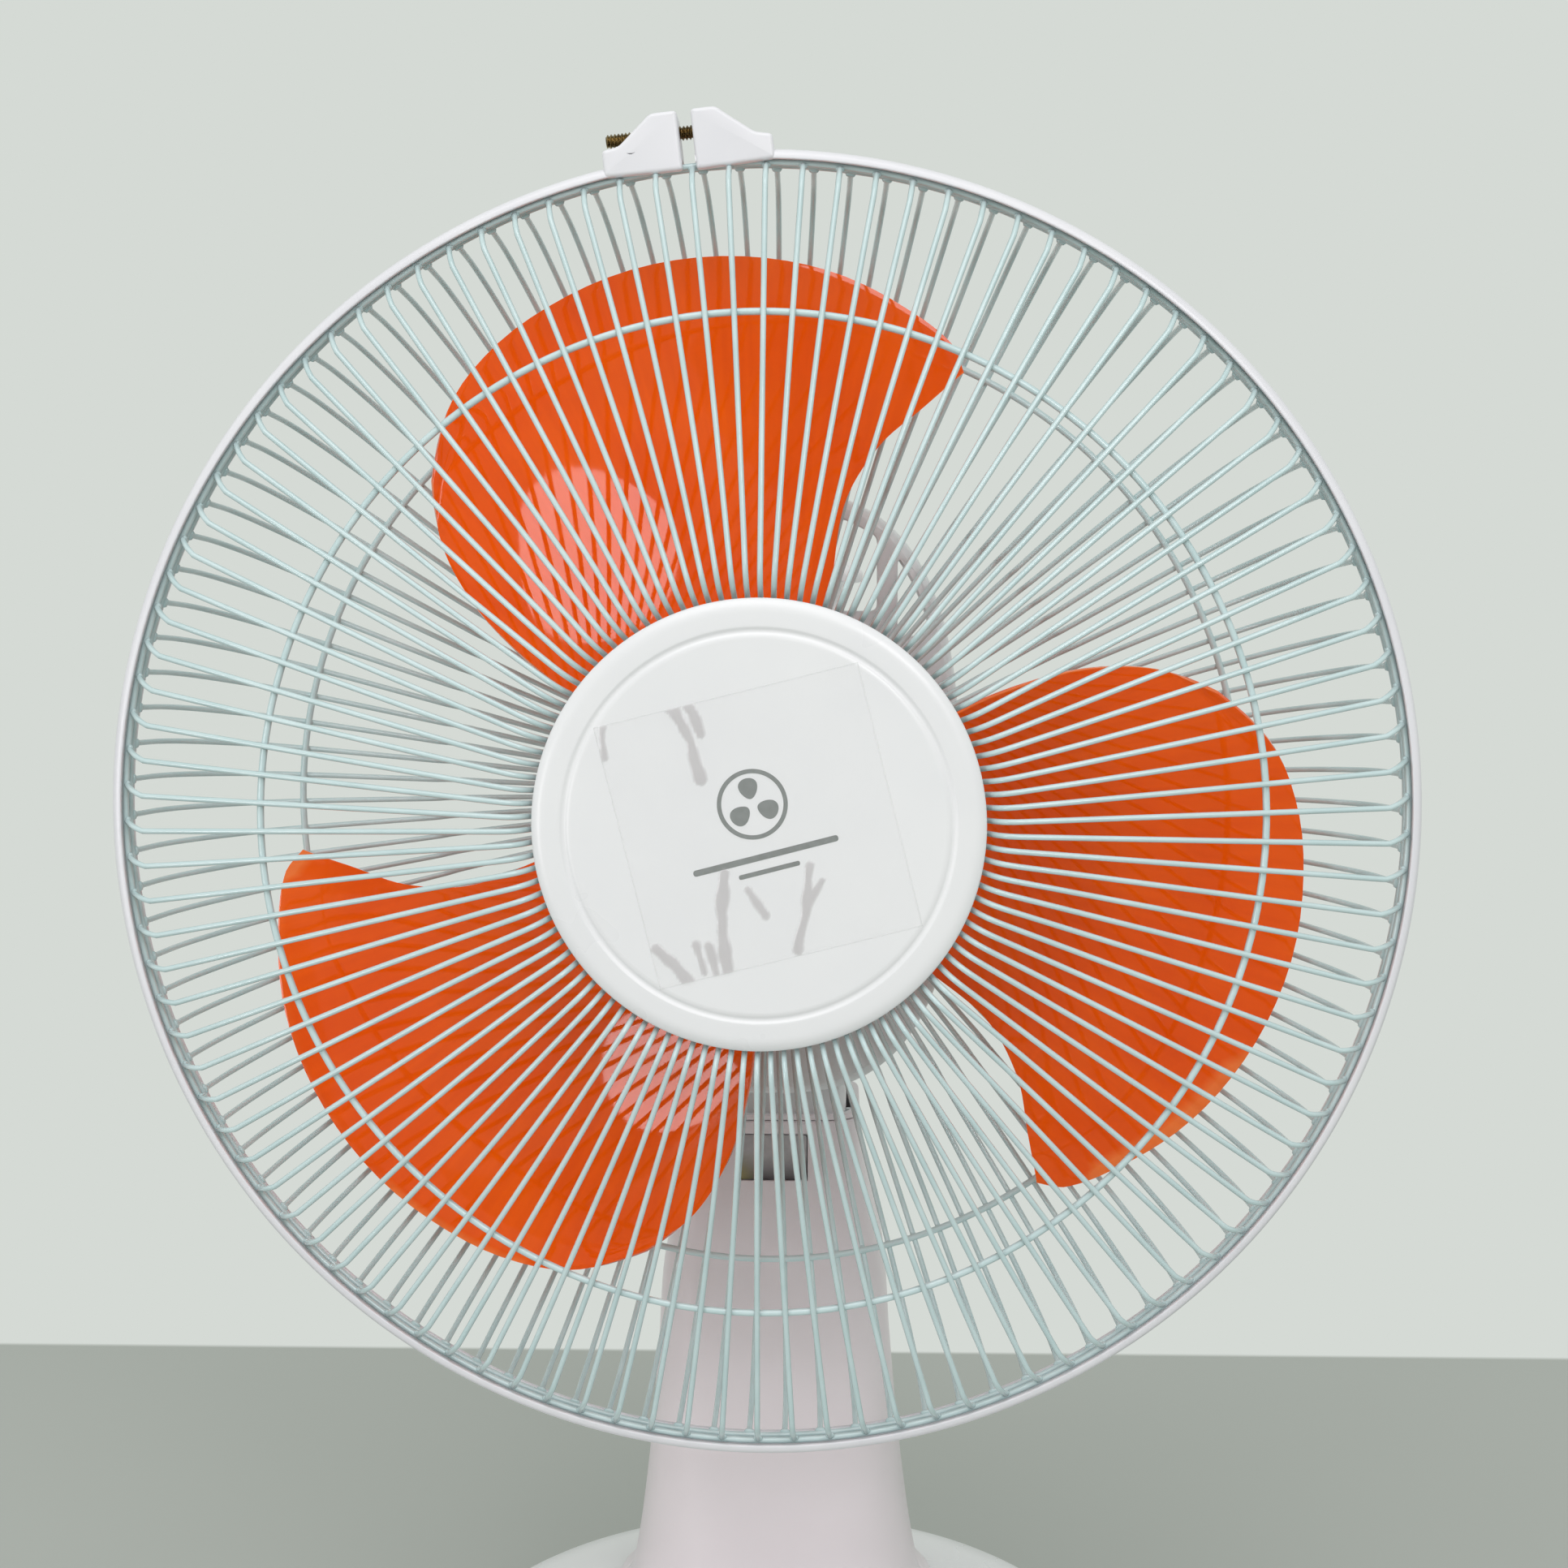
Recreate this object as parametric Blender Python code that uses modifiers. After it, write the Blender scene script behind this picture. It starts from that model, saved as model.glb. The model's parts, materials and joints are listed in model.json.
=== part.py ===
# Desk fan with a 300 mm blade: guards, blade, induction motor, oscillating gear train, tilting neck,
# hollow column and a round base with four push buttons.
# Lengths below are in millimetres. MM turns them into metres where geometry is made.
# +Z is up and the fan blows towards -Y. The origin is on the floor under the middle of the base.

import math

import bmesh
import bpy
from mathutils import Matrix, Vector

MM = 0.001
GAP = 0.3

# Driving dimensions
AXIS_HEIGHT = 300.0
RIM_Y = -84.5
SWIVEL_Y = 20.0
TILT_DROP = 105.5
BASE_RADIUS = 115.0
BLADE_RADIUS = 150.8
RIM_RADIUS = 170.2
HOOP_RADIUS = 174.0
BADGE_RADIUS = 58.0
BADGE_FACE = -28.7
FILM_TURN = -14.0
CLAMP_ANGLE = 96.3
CLAMP_RADIUS = 179.4
CLAMP_DEPTH = 0.6
EAR_MIDDLE = 178.0
NUT_ALONG = -5.5
WIRE = 1.8
WIRE_COUNT = 33
SHAFT_RADIUS = 4.0
DRIVE_PIN_DEPTH = 36.0
COVER_BORE = 20.4
COLUMN_TOP = AXIS_HEIGHT - 99.3
COLLAR_HEIGHT = 1.8
COLUMN_FOOT = 42.3
WHEEL_X = 16.4
CRANK_X = -3.0
GEAR_DEPTH = 144.0
LABEL_HEIGHT = 187.4
INLET_HEIGHT = 17.0
BEZEL_Y = -81.0
BUTTON_HEIGHT = 39.25
BUTTON_PITCH = 20.0
BUTTON_TRAVEL = 4.0

AXIS = Vector((0.0, RIM_Y, AXIS_HEIGHT))
TILT = Vector((0.0, SWIVEL_Y, AXIS_HEIGHT - TILT_DROP))
SWIVEL = Vector((0.0, SWIVEL_Y, AXIS_HEIGHT - 84.0))
WHEEL = Vector((WHEEL_X, RIM_Y + GEAR_DEPTH, AXIS_HEIGHT))
CRANK = Vector((CRANK_X, RIM_Y + GEAR_DEPTH, AXIS_HEIGHT))
ANCHOR = Vector((-16.0, RIM_Y + 118.5, AXIS_HEIGHT))

# Which way a turned piece's own +Z points
FACING = {
    "up": Matrix.Identity(3),
    "back": Matrix.Rotation(-math.pi / 2, 3, "X"),
    "right": Matrix.Rotation(math.pi / 2, 3, "Y"),
}


def clear_scene():
    for old in list(bpy.data.objects):
        bpy.data.objects.remove(old, do_unlink=True)


def new_collection(name):
    made = bpy.data.collections.new(name)
    bpy.context.scene.collection.children.link(made)
    return made


def hex_colour(code):
    channels = [int(code[i:i + 2], 16) / 255 for i in (0, 2, 4)]
    linear = [c / 12.92 if c <= 0.04045 else ((c + 0.055) / 1.055) ** 2.4 for c in channels]
    return (*linear, 1.0)


def make_material(name, colour, roughness, metallic=0.0):
    made = bpy.data.materials.new(name)
    made.use_nodes = True
    shader = made.node_tree.nodes["Principled BSDF"]
    shader.inputs["Base Color"].default_value = hex_colour(colour)
    shader.inputs["Roughness"].default_value = roughness
    shader.inputs["Metallic"].default_value = metallic
    return made


clear_scene()
fan = new_collection("desk_fan")
cutters = new_collection("desk_fan_cutters")
pivot_places = {}

powder_coat = make_material("powder_coat_mint", "C6DCDB", 0.4)
white_abs = make_material("abs_white", "ECEDF0", 0.35)
column_abs = make_material("abs_column", "DCDCE4", 0.4)
orange_san = make_material("blade_orange", "D9520F", 0.15)
clear_film = make_material("clear_film", "F4F6F7", 0.1)
label_grey = make_material("label_grey", "8E8C92", 0.5)
dark_abs = make_material("abs_dark", "3A3B40", 0.45)
zinc_steel = make_material("zinc_steel", "B9BCBF", 0.3, 1.0)
brass = make_material("brass_passivated", "6B5A3A", 0.35, 1.0)
bronze = make_material("sintered_bronze", "9C7245", 0.5, 1.0)
laminated = make_material("laminated_iron", "5C6066", 0.5, 0.8)
copper = make_material("enamelled_copper", "A4532B", 0.35, 0.9)
acetal = make_material("acetal_natural", "E9E6DC", 0.45)
rubber = make_material("rubber_black", "222225", 0.8)


def pivot(name, at, parent=None):
    empty = bpy.data.objects.new(name, None)
    empty.empty_display_size = 0.02
    fan.objects.link(empty)
    attach(empty, at, parent)
    pivot_places[empty.name] = Vector(at)
    return empty


def attach(piece, at, parent):
    here = Vector(at)
    if parent:
        piece.parent = parent
        here = here - pivot_places[parent.name]
    piece.location = here * MM


def place(name, mesh, at, material=None, parent=None, smooth=True):
    """Make an object from a mesh. Without a material it is a cutter or a Boolean operand."""
    piece = bpy.data.objects.new(name, mesh)
    attach(piece, at, parent)
    if smooth:
        mesh.shade_smooth()
        mesh.set_sharp_from_angle(angle=math.radians(35))
    if material:
        mesh.materials.append(material)
        fan.objects.link(piece)
    else:
        cutters.objects.link(piece)
        piece.hide_render = True
        piece.display_type = "WIRE"
    return piece


def bevel(piece, width, segments=2, angle=40):
    soft = piece.modifiers.new("bevel", "BEVEL")
    soft.width = width * MM
    soft.segments = segments
    soft.limit_method = "ANGLE"
    soft.angle_limit = math.radians(angle)


def solidify(piece, thickness, offset=0.0):
    skin = piece.modifiers.new("solidify", "SOLIDIFY")
    skin.thickness = thickness * MM
    skin.offset = offset
    skin.use_even_offset = True
    return skin


def boolean(piece, other, operation="DIFFERENCE"):
    step = piece.modifiers.new(operation.lower(), "BOOLEAN")
    step.operation = operation
    step.object = other


def turned(name, profile, at, material=None, parent=None, facing="up", steps=32):
    """Turn a closed (radius, height) profile that runs down its outer side."""
    mesh = bpy.data.meshes.new(name)
    points = [Vector((radius, 0.0, height)) * MM for radius, height in profile]
    count = len(points)
    edges = [(i, i + 1) for i in range(count - 1)]
    touches_axis = profile[0][0] == 0 and profile[-1][0] == 0
    if not touches_axis:
        edges.append((count - 1, 0))
    mesh.from_pydata(points, edges, [])
    piece = place(name, mesh, at, material, parent, smooth=False)
    piece.rotation_euler = FACING[facing].to_euler()
    screw = piece.modifiers.new("screw", "SCREW")
    screw.steps = steps
    screw.render_steps = steps
    screw.use_merge_vertices = True
    screw.merge_threshold = 0.00001
    screw.use_smooth_shade = True
    return piece


def box(name, size, at, material=None, parent=None, edge=0.0, turn=0.0):
    mesh = bpy.data.meshes.new(name)
    shape = bmesh.new()
    bmesh.ops.create_cube(shape, size=1.0)
    bmesh.ops.scale(shape, vec=Vector(size) * MM, verts=shape.verts)
    shape.to_mesh(mesh)
    shape.free()
    piece = place(name, mesh, at, material, parent, smooth=False)
    piece.rotation_euler = (0.0, turn, 0.0)
    if edge:
        bevel(piece, edge)
    return piece


def rod(name, radius, length, at, material=None, parent=None, facing="up", steps=20, edge=0.0, turn=0.0):
    mesh = bpy.data.meshes.new(name)
    shape = bmesh.new()
    bmesh.ops.create_cone(shape, cap_ends=True, segments=steps, radius1=radius * MM,
                          radius2=radius * MM, depth=length * MM)
    shape.to_mesh(mesh)
    shape.free()
    piece = place(name, mesh, at, material, parent)
    piece.rotation_euler = (Matrix.Rotation(turn, 3, "Y") @ FACING[facing]).to_euler()
    if edge:
        bevel(piece, edge)
    return piece


def slab(name, outline, thickness, at, material=None, parent=None, facing="up"):
    """Extrude a flat outline to both sides of its own plane."""
    curve = bpy.data.curves.new(name + "_outline", "CURVE")
    curve.dimensions = "2D"
    curve.fill_mode = "BOTH"
    curve.extrude = thickness * MM / 2
    spline = curve.splines.new("POLY")
    spline.points.add(len(outline) - 1)
    for point, (across, along) in zip(spline.points, outline):
        point.co = (across * MM, along * MM, 0.0, 1.0)
    spline.use_cyclic_u = True
    guide = bpy.data.objects.new(name + "_guide", curve)
    cutters.objects.link(guide)
    mesh = bpy.data.meshes.new_from_object(guide.evaluated_get(bpy.context.evaluated_depsgraph_get()))
    bpy.data.objects.remove(guide, do_unlink=True)
    shape = bmesh.new()
    shape.from_mesh(mesh)
    bmesh.ops.remove_doubles(shape, verts=shape.verts, dist=0.00001)
    shape.to_mesh(mesh)
    shape.free()
    piece = place(name, mesh, at, material, parent)
    piece.rotation_euler = FACING[facing].to_euler()
    return piece


def oval(half_width, half_depth, power, count):
    """Points of a superellipse, which is a rectangle's and an ellipse's in-between."""
    points = []
    for i in range(count):
        angle = 2 * math.pi * i / count
        c, s = math.cos(angle), math.sin(angle)
        across = math.copysign(abs(c) ** (2 / power), c) * half_width
        along = math.copysign(abs(s) ** (2 / power), s) * half_depth
        points.append((across, along))
    return points


def smooth_value(table, where):
    """Read a value from a short list of (position, value) with a smooth curve through it."""
    last = len(table) - 1
    i = max(0, min(last - 1, sum(1 for key, _ in table[1:] if key <= where)))
    before, start, end, after = (table[max(0, min(last, k))] for k in (i - 1, i, i + 1, i + 2))
    span = end[0] - start[0]
    u = max(0.0, min(1.0, (where - start[0]) / span))
    slope_in = (end[1] - before[1]) / (end[0] - before[0]) * span
    slope_out = (after[1] - start[1]) / (after[0] - start[0]) * span
    h = (2 * u ** 3 - 3 * u ** 2 + 1, u ** 3 - 2 * u ** 2 + u, -2 * u ** 3 + 3 * u ** 2, u ** 3 - u ** 2)
    return h[0] * start[1] + h[1] * slope_in + h[2] * end[1] + h[3] * slope_out


def loft(name, sections, at, material=None, parent=None):
    """Skin a pile of (height, outline) sections, open at both ends."""
    mesh = bpy.data.meshes.new(name)
    shape = bmesh.new()
    rows = [[shape.verts.new(Vector((x, y, height)) * MM) for x, y in outline]
            for height, outline in sections]
    count = len(rows[0])
    for low, high in zip(rows, rows[1:]):
        for i in range(count):
            j = (i + 1) % count
            shape.faces.new((low[i], low[j], high[j], high[i]))
    shape.to_mesh(mesh)
    shape.free()
    return place(name, mesh, at, material, parent)


def guard(name, profile, bands, material, parent):
    """A wire guard as one lattice: flat bars along the profile, joined by ring bands."""
    mesh = bpy.data.meshes.new(name)
    shape = bmesh.new()
    spokes = []
    for k in range(WIRE_COUNT):
        angle = 2 * math.pi * k / WIRE_COUNT
        out = Vector((math.cos(angle), 0.0, math.sin(angle)))
        side = Vector((-math.sin(angle), 0.0, math.cos(angle))) * WIRE / 2
        rails = []
        for way in (-1, 1):
            rails.append([shape.verts.new((out * radius + side * way + Vector((0.0, depth, 0.0))) * MM)
                          for radius, depth in profile])
        spokes.append(rails)
    for k, (near, far) in enumerate(spokes):
        following = spokes[(k + 1) % WIRE_COUNT][0]
        for i in range(len(profile) - 1):
            shape.faces.new((near[i], near[i + 1], far[i + 1], far[i]))
            if i in bands:
                shape.faces.new((far[i], far[i + 1], following[i + 1], following[i]))
    shape.to_mesh(mesh)
    shape.free()
    piece = place(name, mesh, AXIS, material, parent, smooth=False)
    solidify(piece, WIRE)
    return piece


def make_guards(head):
    """Front and rear wire guards: (radius, depth behind the rim plane) from the hub outwards."""
    front = [(46, -19.5), (50.5, -19.5), (61, -27.0), (63.5, -28.8), (129, -15.8), (132, -15.2),
             (165.5, -8.6), (RIM_RADIUS, -3.6), (RIM_RADIUS, -0.6)]
    guard("front_guard", front, (0, 4, 7), powder_coat, head)
    rear = [(28, 57), (48, 56.5), (93, 52.3), (95.7, 49.5), (131.5, 41.7), (134.5, 40.6), (158, 27.5),
            (RIM_RADIUS, 3.4), (RIM_RADIUS, 0.4)]
    guard("rear_guard", rear, (0, 4, 7), powder_coat, head)


def make_badge(head):
    """Badge dish in front of the wires, plate behind them, two screws, and a protective film."""
    dish = [(0, -26.4), (46.5, -26.4), (46.5, -21.0), (49.5, -21.0), (52, -24.0), (BADGE_RADIUS, -27.1),
            (BADGE_RADIUS, -28.1), (50.2, BADGE_FACE), (49.6, -28.0), (49.0, BADGE_FACE), (0, BADGE_FACE)]
    badge = turned("front_badge", dish, AXIS, white_abs, head, "back", 36)
    plate_profile = [(0, -16.2), (52, -16.2), (52, -18.1), (0, -18.1)]
    plate = turned("badge_back_plate", plate_profile, AXIS, white_abs, head, "back", 32)
    for side, label in ((-1, "left"), (1, "right")):
        spot = AXIS + Vector((30.0 * side, 0.0, 0.0))
        boss = rod("boss_" + label, 4.0, 8.6, spot + Vector((0, -22.8, 0)), facing="back")
        boolean(badge, boss, "UNION")
        drill = rod("badge_drill_" + label, 1.9, 8.3, spot + Vector((0, -20.2, 0)), facing="back", steps=14)
        boolean(badge, drill)
        boolean(plate, drill)
        screw = [(0, -14.2), (2.6, -14.2), (3.5, -15.9), (1.6, -15.9), (1.6, -24.0), (0, -24.0)]
        turned("badge_screw_" + label, screw, spot, zinc_steel, head, "back", 14)
    film_spot = AXIS + Vector((0, BADGE_FACE - GAP - 0.25, 0))
    box("badge_film", (69.0, 0.5, 69.0), film_spot, clear_film, head, turn=math.radians(FILM_TURN))


def make_hoop(head):
    """Channel hoop that clamps both rim rings, with two ears, a screw and a square nut."""
    channel = [(HOOP_RADIUS, 6.8), (HOOP_RADIUS, -5.6), (171.4, -5.6), (171.4, -4.3), (172.3, -4.3),
               (172.3, 5.5), (171.4, 5.5), (171.4, 6.8)]
    hoop = turned("rim_hoop", channel, AXIS, white_abs, head, "back", 64)
    clamp = math.radians(CLAMP_ANGLE)
    turn = math.pi / 2 - clamp
    middle = AXIS + Vector((math.cos(clamp), 0.0, math.sin(clamp))) * EAR_MIDDLE

    def along(tangent, radial, depth):
        out = Vector((math.cos(clamp), 0.0, math.sin(clamp)))
        right = Vector((math.sin(clamp), 0.0, -math.cos(clamp)))
        return AXIS + out * radial + right * tangent + Vector((0.0, depth, 0.0))

    gap = box("hoop_gap", (3.6, 20.0, 24.0), middle, turn=turn)
    for side, label in ((-1, "left"), (1, "right")):
        outline = [(2.0, 173.2), (2.0, 184.3), (8.5, 184.3), (17.5, 177.2), (21.5, 173.2)]
        if side < 0:
            outline = [(-across, out) for across, out in reversed(outline)]
        flat = [(across, EAR_MIDDLE - out) for across, out in outline]
        ear = slab("ear_" + label, flat, 12.2, middle + Vector((0.0, CLAMP_DEPTH, 0.0)))
        ear.rotation_euler = (Matrix.Rotation(turn, 3, "Y") @ FACING["back"]).to_euler()
        boolean(hoop, ear, "UNION")
    boolean(hoop, gap)
    screw_spot = along(0, CLAMP_RADIUS, CLAMP_DEPTH)
    head_spot = along(16.8, CLAMP_RADIUS, CLAMP_DEPTH)
    nut_spot = along(NUT_ALONG, CLAMP_RADIUS, CLAMP_DEPTH)
    hole = rod("clamp_hole", 2.4, 60.0, screw_spot, facing="right", steps=16, turn=turn)
    boolean(hoop, hole)
    head_pocket = rod("clamp_pocket", 4.1, 20.0, head_spot, facing="right", steps=16, turn=turn)
    boolean(hoop, head_pocket)
    nut_pocket = box("nut_pocket", (3.8, 14.0, 7.8), along(NUT_ALONG, CLAMP_RADIUS, 3.2), turn=turn)
    boolean(hoop, nut_pocket)
    profile = [(0, 10.6), (3.2, 10.6), (3.7, 9.8), (3.7, 7.2), (2.0, 7.2), (2.0, -20.6), (1.6, -21.0),
               (0, -21.0)]
    screw = turned("clamp_screw", profile, screw_spot, brass, head, "right", 16)
    screw.rotation_euler = (Matrix.Rotation(turn, 3, "Y") @ FACING["right"]).to_euler()
    nut = box("clamp_nut", (3.0, 7.0, 7.0), nut_spot, zinc_steel, head, turn=turn)
    boolean(nut, hole)


def leaf_point(s, v):
    """A point of one blade leaf: s runs from the hub to the rim, v from leading to trailing edge."""
    lead = [(25, 68), (45, 71.5), (62, 73.9), (85, 75.8), (104, 72.8), (118, 68.6), (131, 65.6)]
    trail = [(25, 147), (62, 147.9), (87, 145.6), (100.5, 143.2), (113, 140), (126, 135)]
    rim = [(65.6, 131), (68, 136.5), (75, 142.2), (82.5, 147), (90, 149.7), (97.5, BLADE_RADIUS),
           (105, 150.4), (112.5, 148.3), (120, 144.9), (127.5, 138.5), (135, 126)]
    across = v ** 1.15
    rim_angle = 65.6 + 69.4 * across
    reach = smooth_value(rim, rim_angle)
    radius = 25 + (reach - 25) * s
    lead_angle = smooth_value(lead, min(131, 25 + 106 * s))
    trail_angle = smooth_value(trail, min(126, 25 + 101 * s))
    angle = math.radians(lead_angle + (trail_angle - lead_angle) * across)
    pitch = 24 + 8 * math.sin(math.pi * min(1.0, s * 1.1)) - 5 * s
    depth = 19.5 + pitch * (0.5 - v) + 3.0 * math.sin(math.pi * v)
    return Vector((radius * math.cos(angle), depth, radius * math.sin(angle)))


def make_blade(spin):
    """Three leaves on a hub that is driven by a cross pin, held by a domed nut."""
    hub_profile = [(27, 38), (27, 4), (4.3, 4), (4.3, 38)]
    hub = turned("fan_blade", hub_profile, AXIS, orange_san, spin, "back", 32)
    for k in range(3):
        mesh = bpy.data.meshes.new("leaf")
        shape = bmesh.new()
        bmesh.ops.create_grid(shape, x_segments=6, y_segments=7, size=0.5)
        spin_angle = Matrix.Rotation(2 * math.pi * k / 3, 3, "Y")
        for vert in shape.verts:
            vert.co = spin_angle @ leaf_point(vert.co.x + 0.5, vert.co.y + 0.5) * MM
        shape.to_mesh(mesh)
        shape.free()
        leaf = place("leaf_%d" % (k + 1), mesh, AXIS)
        solidify(leaf, 1.8)
        boolean(hub, leaf, "UNION")
    slot = box("pin_slot", (20.0, 6.0, 3.8), AXIS + Vector((0, DRIVE_PIN_DEPTH + 0.6, 0)))
    boolean(hub, slot)
    pin_spot = AXIS + Vector((0, DRIVE_PIN_DEPTH, 0))
    rod("drive_pin", 1.5, 18.0, pin_spot, zinc_steel, spin, "right", 12)
    nut = [(0, -6), (4.4, -6), (4.4, 3.6), (18, 3.6), (18, -4), (14, -10), (6, -13), (0, -13.5)]
    turned("blade_nut", nut, AXIS, orange_san, spin, "back", 28)
    shaft = [(0, 151), (3.5, 151), (SHAFT_RADIUS, 150.5), (SHAFT_RADIUS, -5), (3.5, -5.5), (0, -5.5)]
    shaft = turned("motor_shaft", shaft, AXIS, zinc_steel, spin, "back", 20)
    boolean(shaft, rod("pin_hole", 1.8, 12.0, pin_spot, facing="right", steps=12))
    core = [(20.5, 112), (20.5, 80), (SHAFT_RADIUS + GAP, 80), (SHAFT_RADIUS + GAP, 112)]
    turned("rotor_core", core, AXIS, laminated, spin, "back", 24)
    thread = []
    for k in range(4):
        start = 149.5 - 3.0 * k
        thread += [(5.6, start), (7.0, start - 0.9), (5.6, start - 1.8)]
    thread += [(SHAFT_RADIUS + GAP, 137.5), (SHAFT_RADIUS + GAP, 149.8)]
    turned("worm", thread, AXIS, acetal, spin, "back", 14)


def window(name, inner, outer, middle, width):
    """A cutter for a window between two radii, with sides along the radius, round the head's axis."""
    points = []
    for radius, way in ((inner, 1), (outer, -1)):
        for step in range(3):
            angle = math.radians(middle + way * width * (step / 2 - 0.5))
            points.append((radius * math.cos(angle), -radius * math.sin(angle)))
    return slab(name, points, 60.0, AXIS + Vector((0, 60.0, 0)), facing="back")


def make_motor(head):
    """Motor, its oval front shield with windows, and its round rear cover."""
    cover = slab("motor_front_cover", oval(55.5, 89.0, 2.7, 32), 17.0, AXIS + Vector((0, 67.5, 0)),
                 white_abs, head, "back")
    bevel(cover, 1.6, 1)
    hollow = oval(52.8, 86.3, 2.7, 32)
    pocket = slab("cover_pocket", hollow, 17.0, AXIS + Vector((0, 70.3, 0)), facing="back")
    boolean(cover, pocket)
    boolean(cover, rod("cover_bore", COVER_BORE, 20.0, AXIS + Vector((0, 62.0, 0)), facing="back", steps=32))
    for middle, outer, width in ((52.5, 69, 9), (67, 78, 10), (90, 82, 20), (113, 78, 10), (127.5, 69, 9)):
        boolean(cover, window("window_%d" % middle, 60, outer, middle, width))
    for k, middle in enumerate((13, 167, 195, 345)):
        boolean(cover, window("vent_%d" % k, 32, 47, middle, 15))
    bowl = [(0, 170), (32, 169), (45, 164), (52, 152), (54, 120), (54, 76.4), (51.8, 76.4), (51.8, 120),
            (49.8, 151), (43.4, 162), (31.5, 166.6), (0, 167.6)]
    rear = turned("motor_rear_cover", bowl, AXIS, white_abs, head, "back", 32)
    knob_hole = rod("knob_hole", 4.7, 60.0, WHEEL + Vector((0, 0, 50)), steps=16)
    boolean(rear, knob_hole)
    boolean(rear, rod("crank_hole", 4.5, 30.0, CRANK + Vector((0, 0, -50)), steps=16))
    boolean(rear, rod("yoke_hole", 12.6, 30.0, SWIVEL + Vector((0, 0, 30)), steps=24))
    for k in range(5):
        boolean(rear, box("slot_%d" % k, (40.0, 20.0, 3.0), AXIS + Vector((0, 168.0, -20 + 10 * k))))
    front = [(42, 79.6), (42, 67), (38, 64.3), (20, 64.3), (20, 50), (8.4, 50), (8.4, 70), (12, 70),
             (12, 67), (36, 67), (39, 70), (39, 79.6)]
    turned("front_bracket", front, AXIS, zinc_steel, head, "back", 24)
    turned("front_bush", [(8, 68), (8, 52), (4.3, 52), (4.3, 68)], AXIS, bronze, head, "back", 14)
    nut = [(33, 55.7), (33, 50), (31, 49), (COVER_BORE, 49), (COVER_BORE, 55.7)]
    turned("guard_nut", nut, AXIS, white_abs, head, "back", 24)
    turned("stator_core", [(40, 112), (40, 80), (21.2, 80), (21.2, 112)], AXIS, laminated, head, "back", 28)
    for name, low, high in (("front_winding", 71.0, 79.6), ("rear_winding", 112.4, 121.0)):
        coil = [(36, high - 2), (36, low + 2), (33, low), (27, low), (24, low + 2), (24, high - 2),
                (27, high), (33, high)]
        turned(name, coil, AXIS, copper, head, "back", 20)
    back = [(12, 134), (12, 127), (38, 127), (42, 123), (42, 112.4), (39, 112.4), (39, 121.5), (36, 124),
            (8.4, 124), (8.4, 134)]
    turned("rear_bracket", back, AXIS, zinc_steel, head, "back", 24)
    turned("rear_bush", [(8, 133.6), (8, 124.4), (4.3, 124.4), (4.3, 133.6)], AXIS, bronze, head, "back", 14)
    yoke = box("swivel_yoke", (22.0, 24.0, 5.6), SWIVEL + Vector((0, 0, 37.8)), zinc_steel, head)
    boolean(yoke, rod("yoke_sleeve", 12.0, 36.0, SWIVEL + Vector((0, 0, 18.5)), steps=24), "UNION")
    boolean(yoke, rod("yoke_bore", 5.4, 24.0, SWIVEL + Vector((0, 0, 12.0)), steps=20))


def make_gear_train(head, wheel, crank, knob):
    """Gearbox with its worm wheel, crank gear and clutch knob."""
    middle = Vector((4.5, RIM_Y + GEAR_DEPTH, AXIS_HEIGHT - 6.5))
    housing = box("gearbox_housing", (51.0, 33.2, 45.0), middle, acetal, head)
    boolean(housing, box("gearbox_hollow", (47.0, 29.2, 41.0), middle))
    boolean(housing, rod("nose_hole", 12.5, 10.0, AXIS + Vector((0, 128.0, 0)), facing="back", steps=24))
    boolean(housing, rod("wheel_hole", 3.4, 80.0, WHEEL, steps=16))
    boolean(housing, rod("crank_shaft_hole", 3.4, 20.0, CRANK + Vector((0, 0, -30)), steps=16))
    wheel_profile = [(0, 24), (3, 24), (3, 5), (9, 5), (9, -5), (3, -5), (3, -19), (5, -19), (5, -24.5),
                     (3, -24.5), (3, -30), (0, -30)]
    turned("worm_wheel", wheel_profile, WHEEL, acetal, wheel, "up", 18)
    crank_profile = [(0, -18.5), (3, -18.5), (3, -19.5), (14, -19.5), (14, -24), (3, -24), (3, -60),
                     (12, -60), (12, -64), (0, -64)]
    arm = turned("crank_gear", crank_profile, CRANK, acetal, crank, "up", 20)
    boolean(arm, rod("crank_pin", 2.0, 6.2, CRANK + Vector((-9.0, 0, -65.1)), steps=14), "UNION")
    cap = [(0, 70), (8, 69.6), (11.6, 66.4), (10.6, 62.8), (4, 61.5), (4, 25), (0, 25)]
    turned("oscillation_knob", cap, WHEEL, white_abs, knob, "up", 20)


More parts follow.
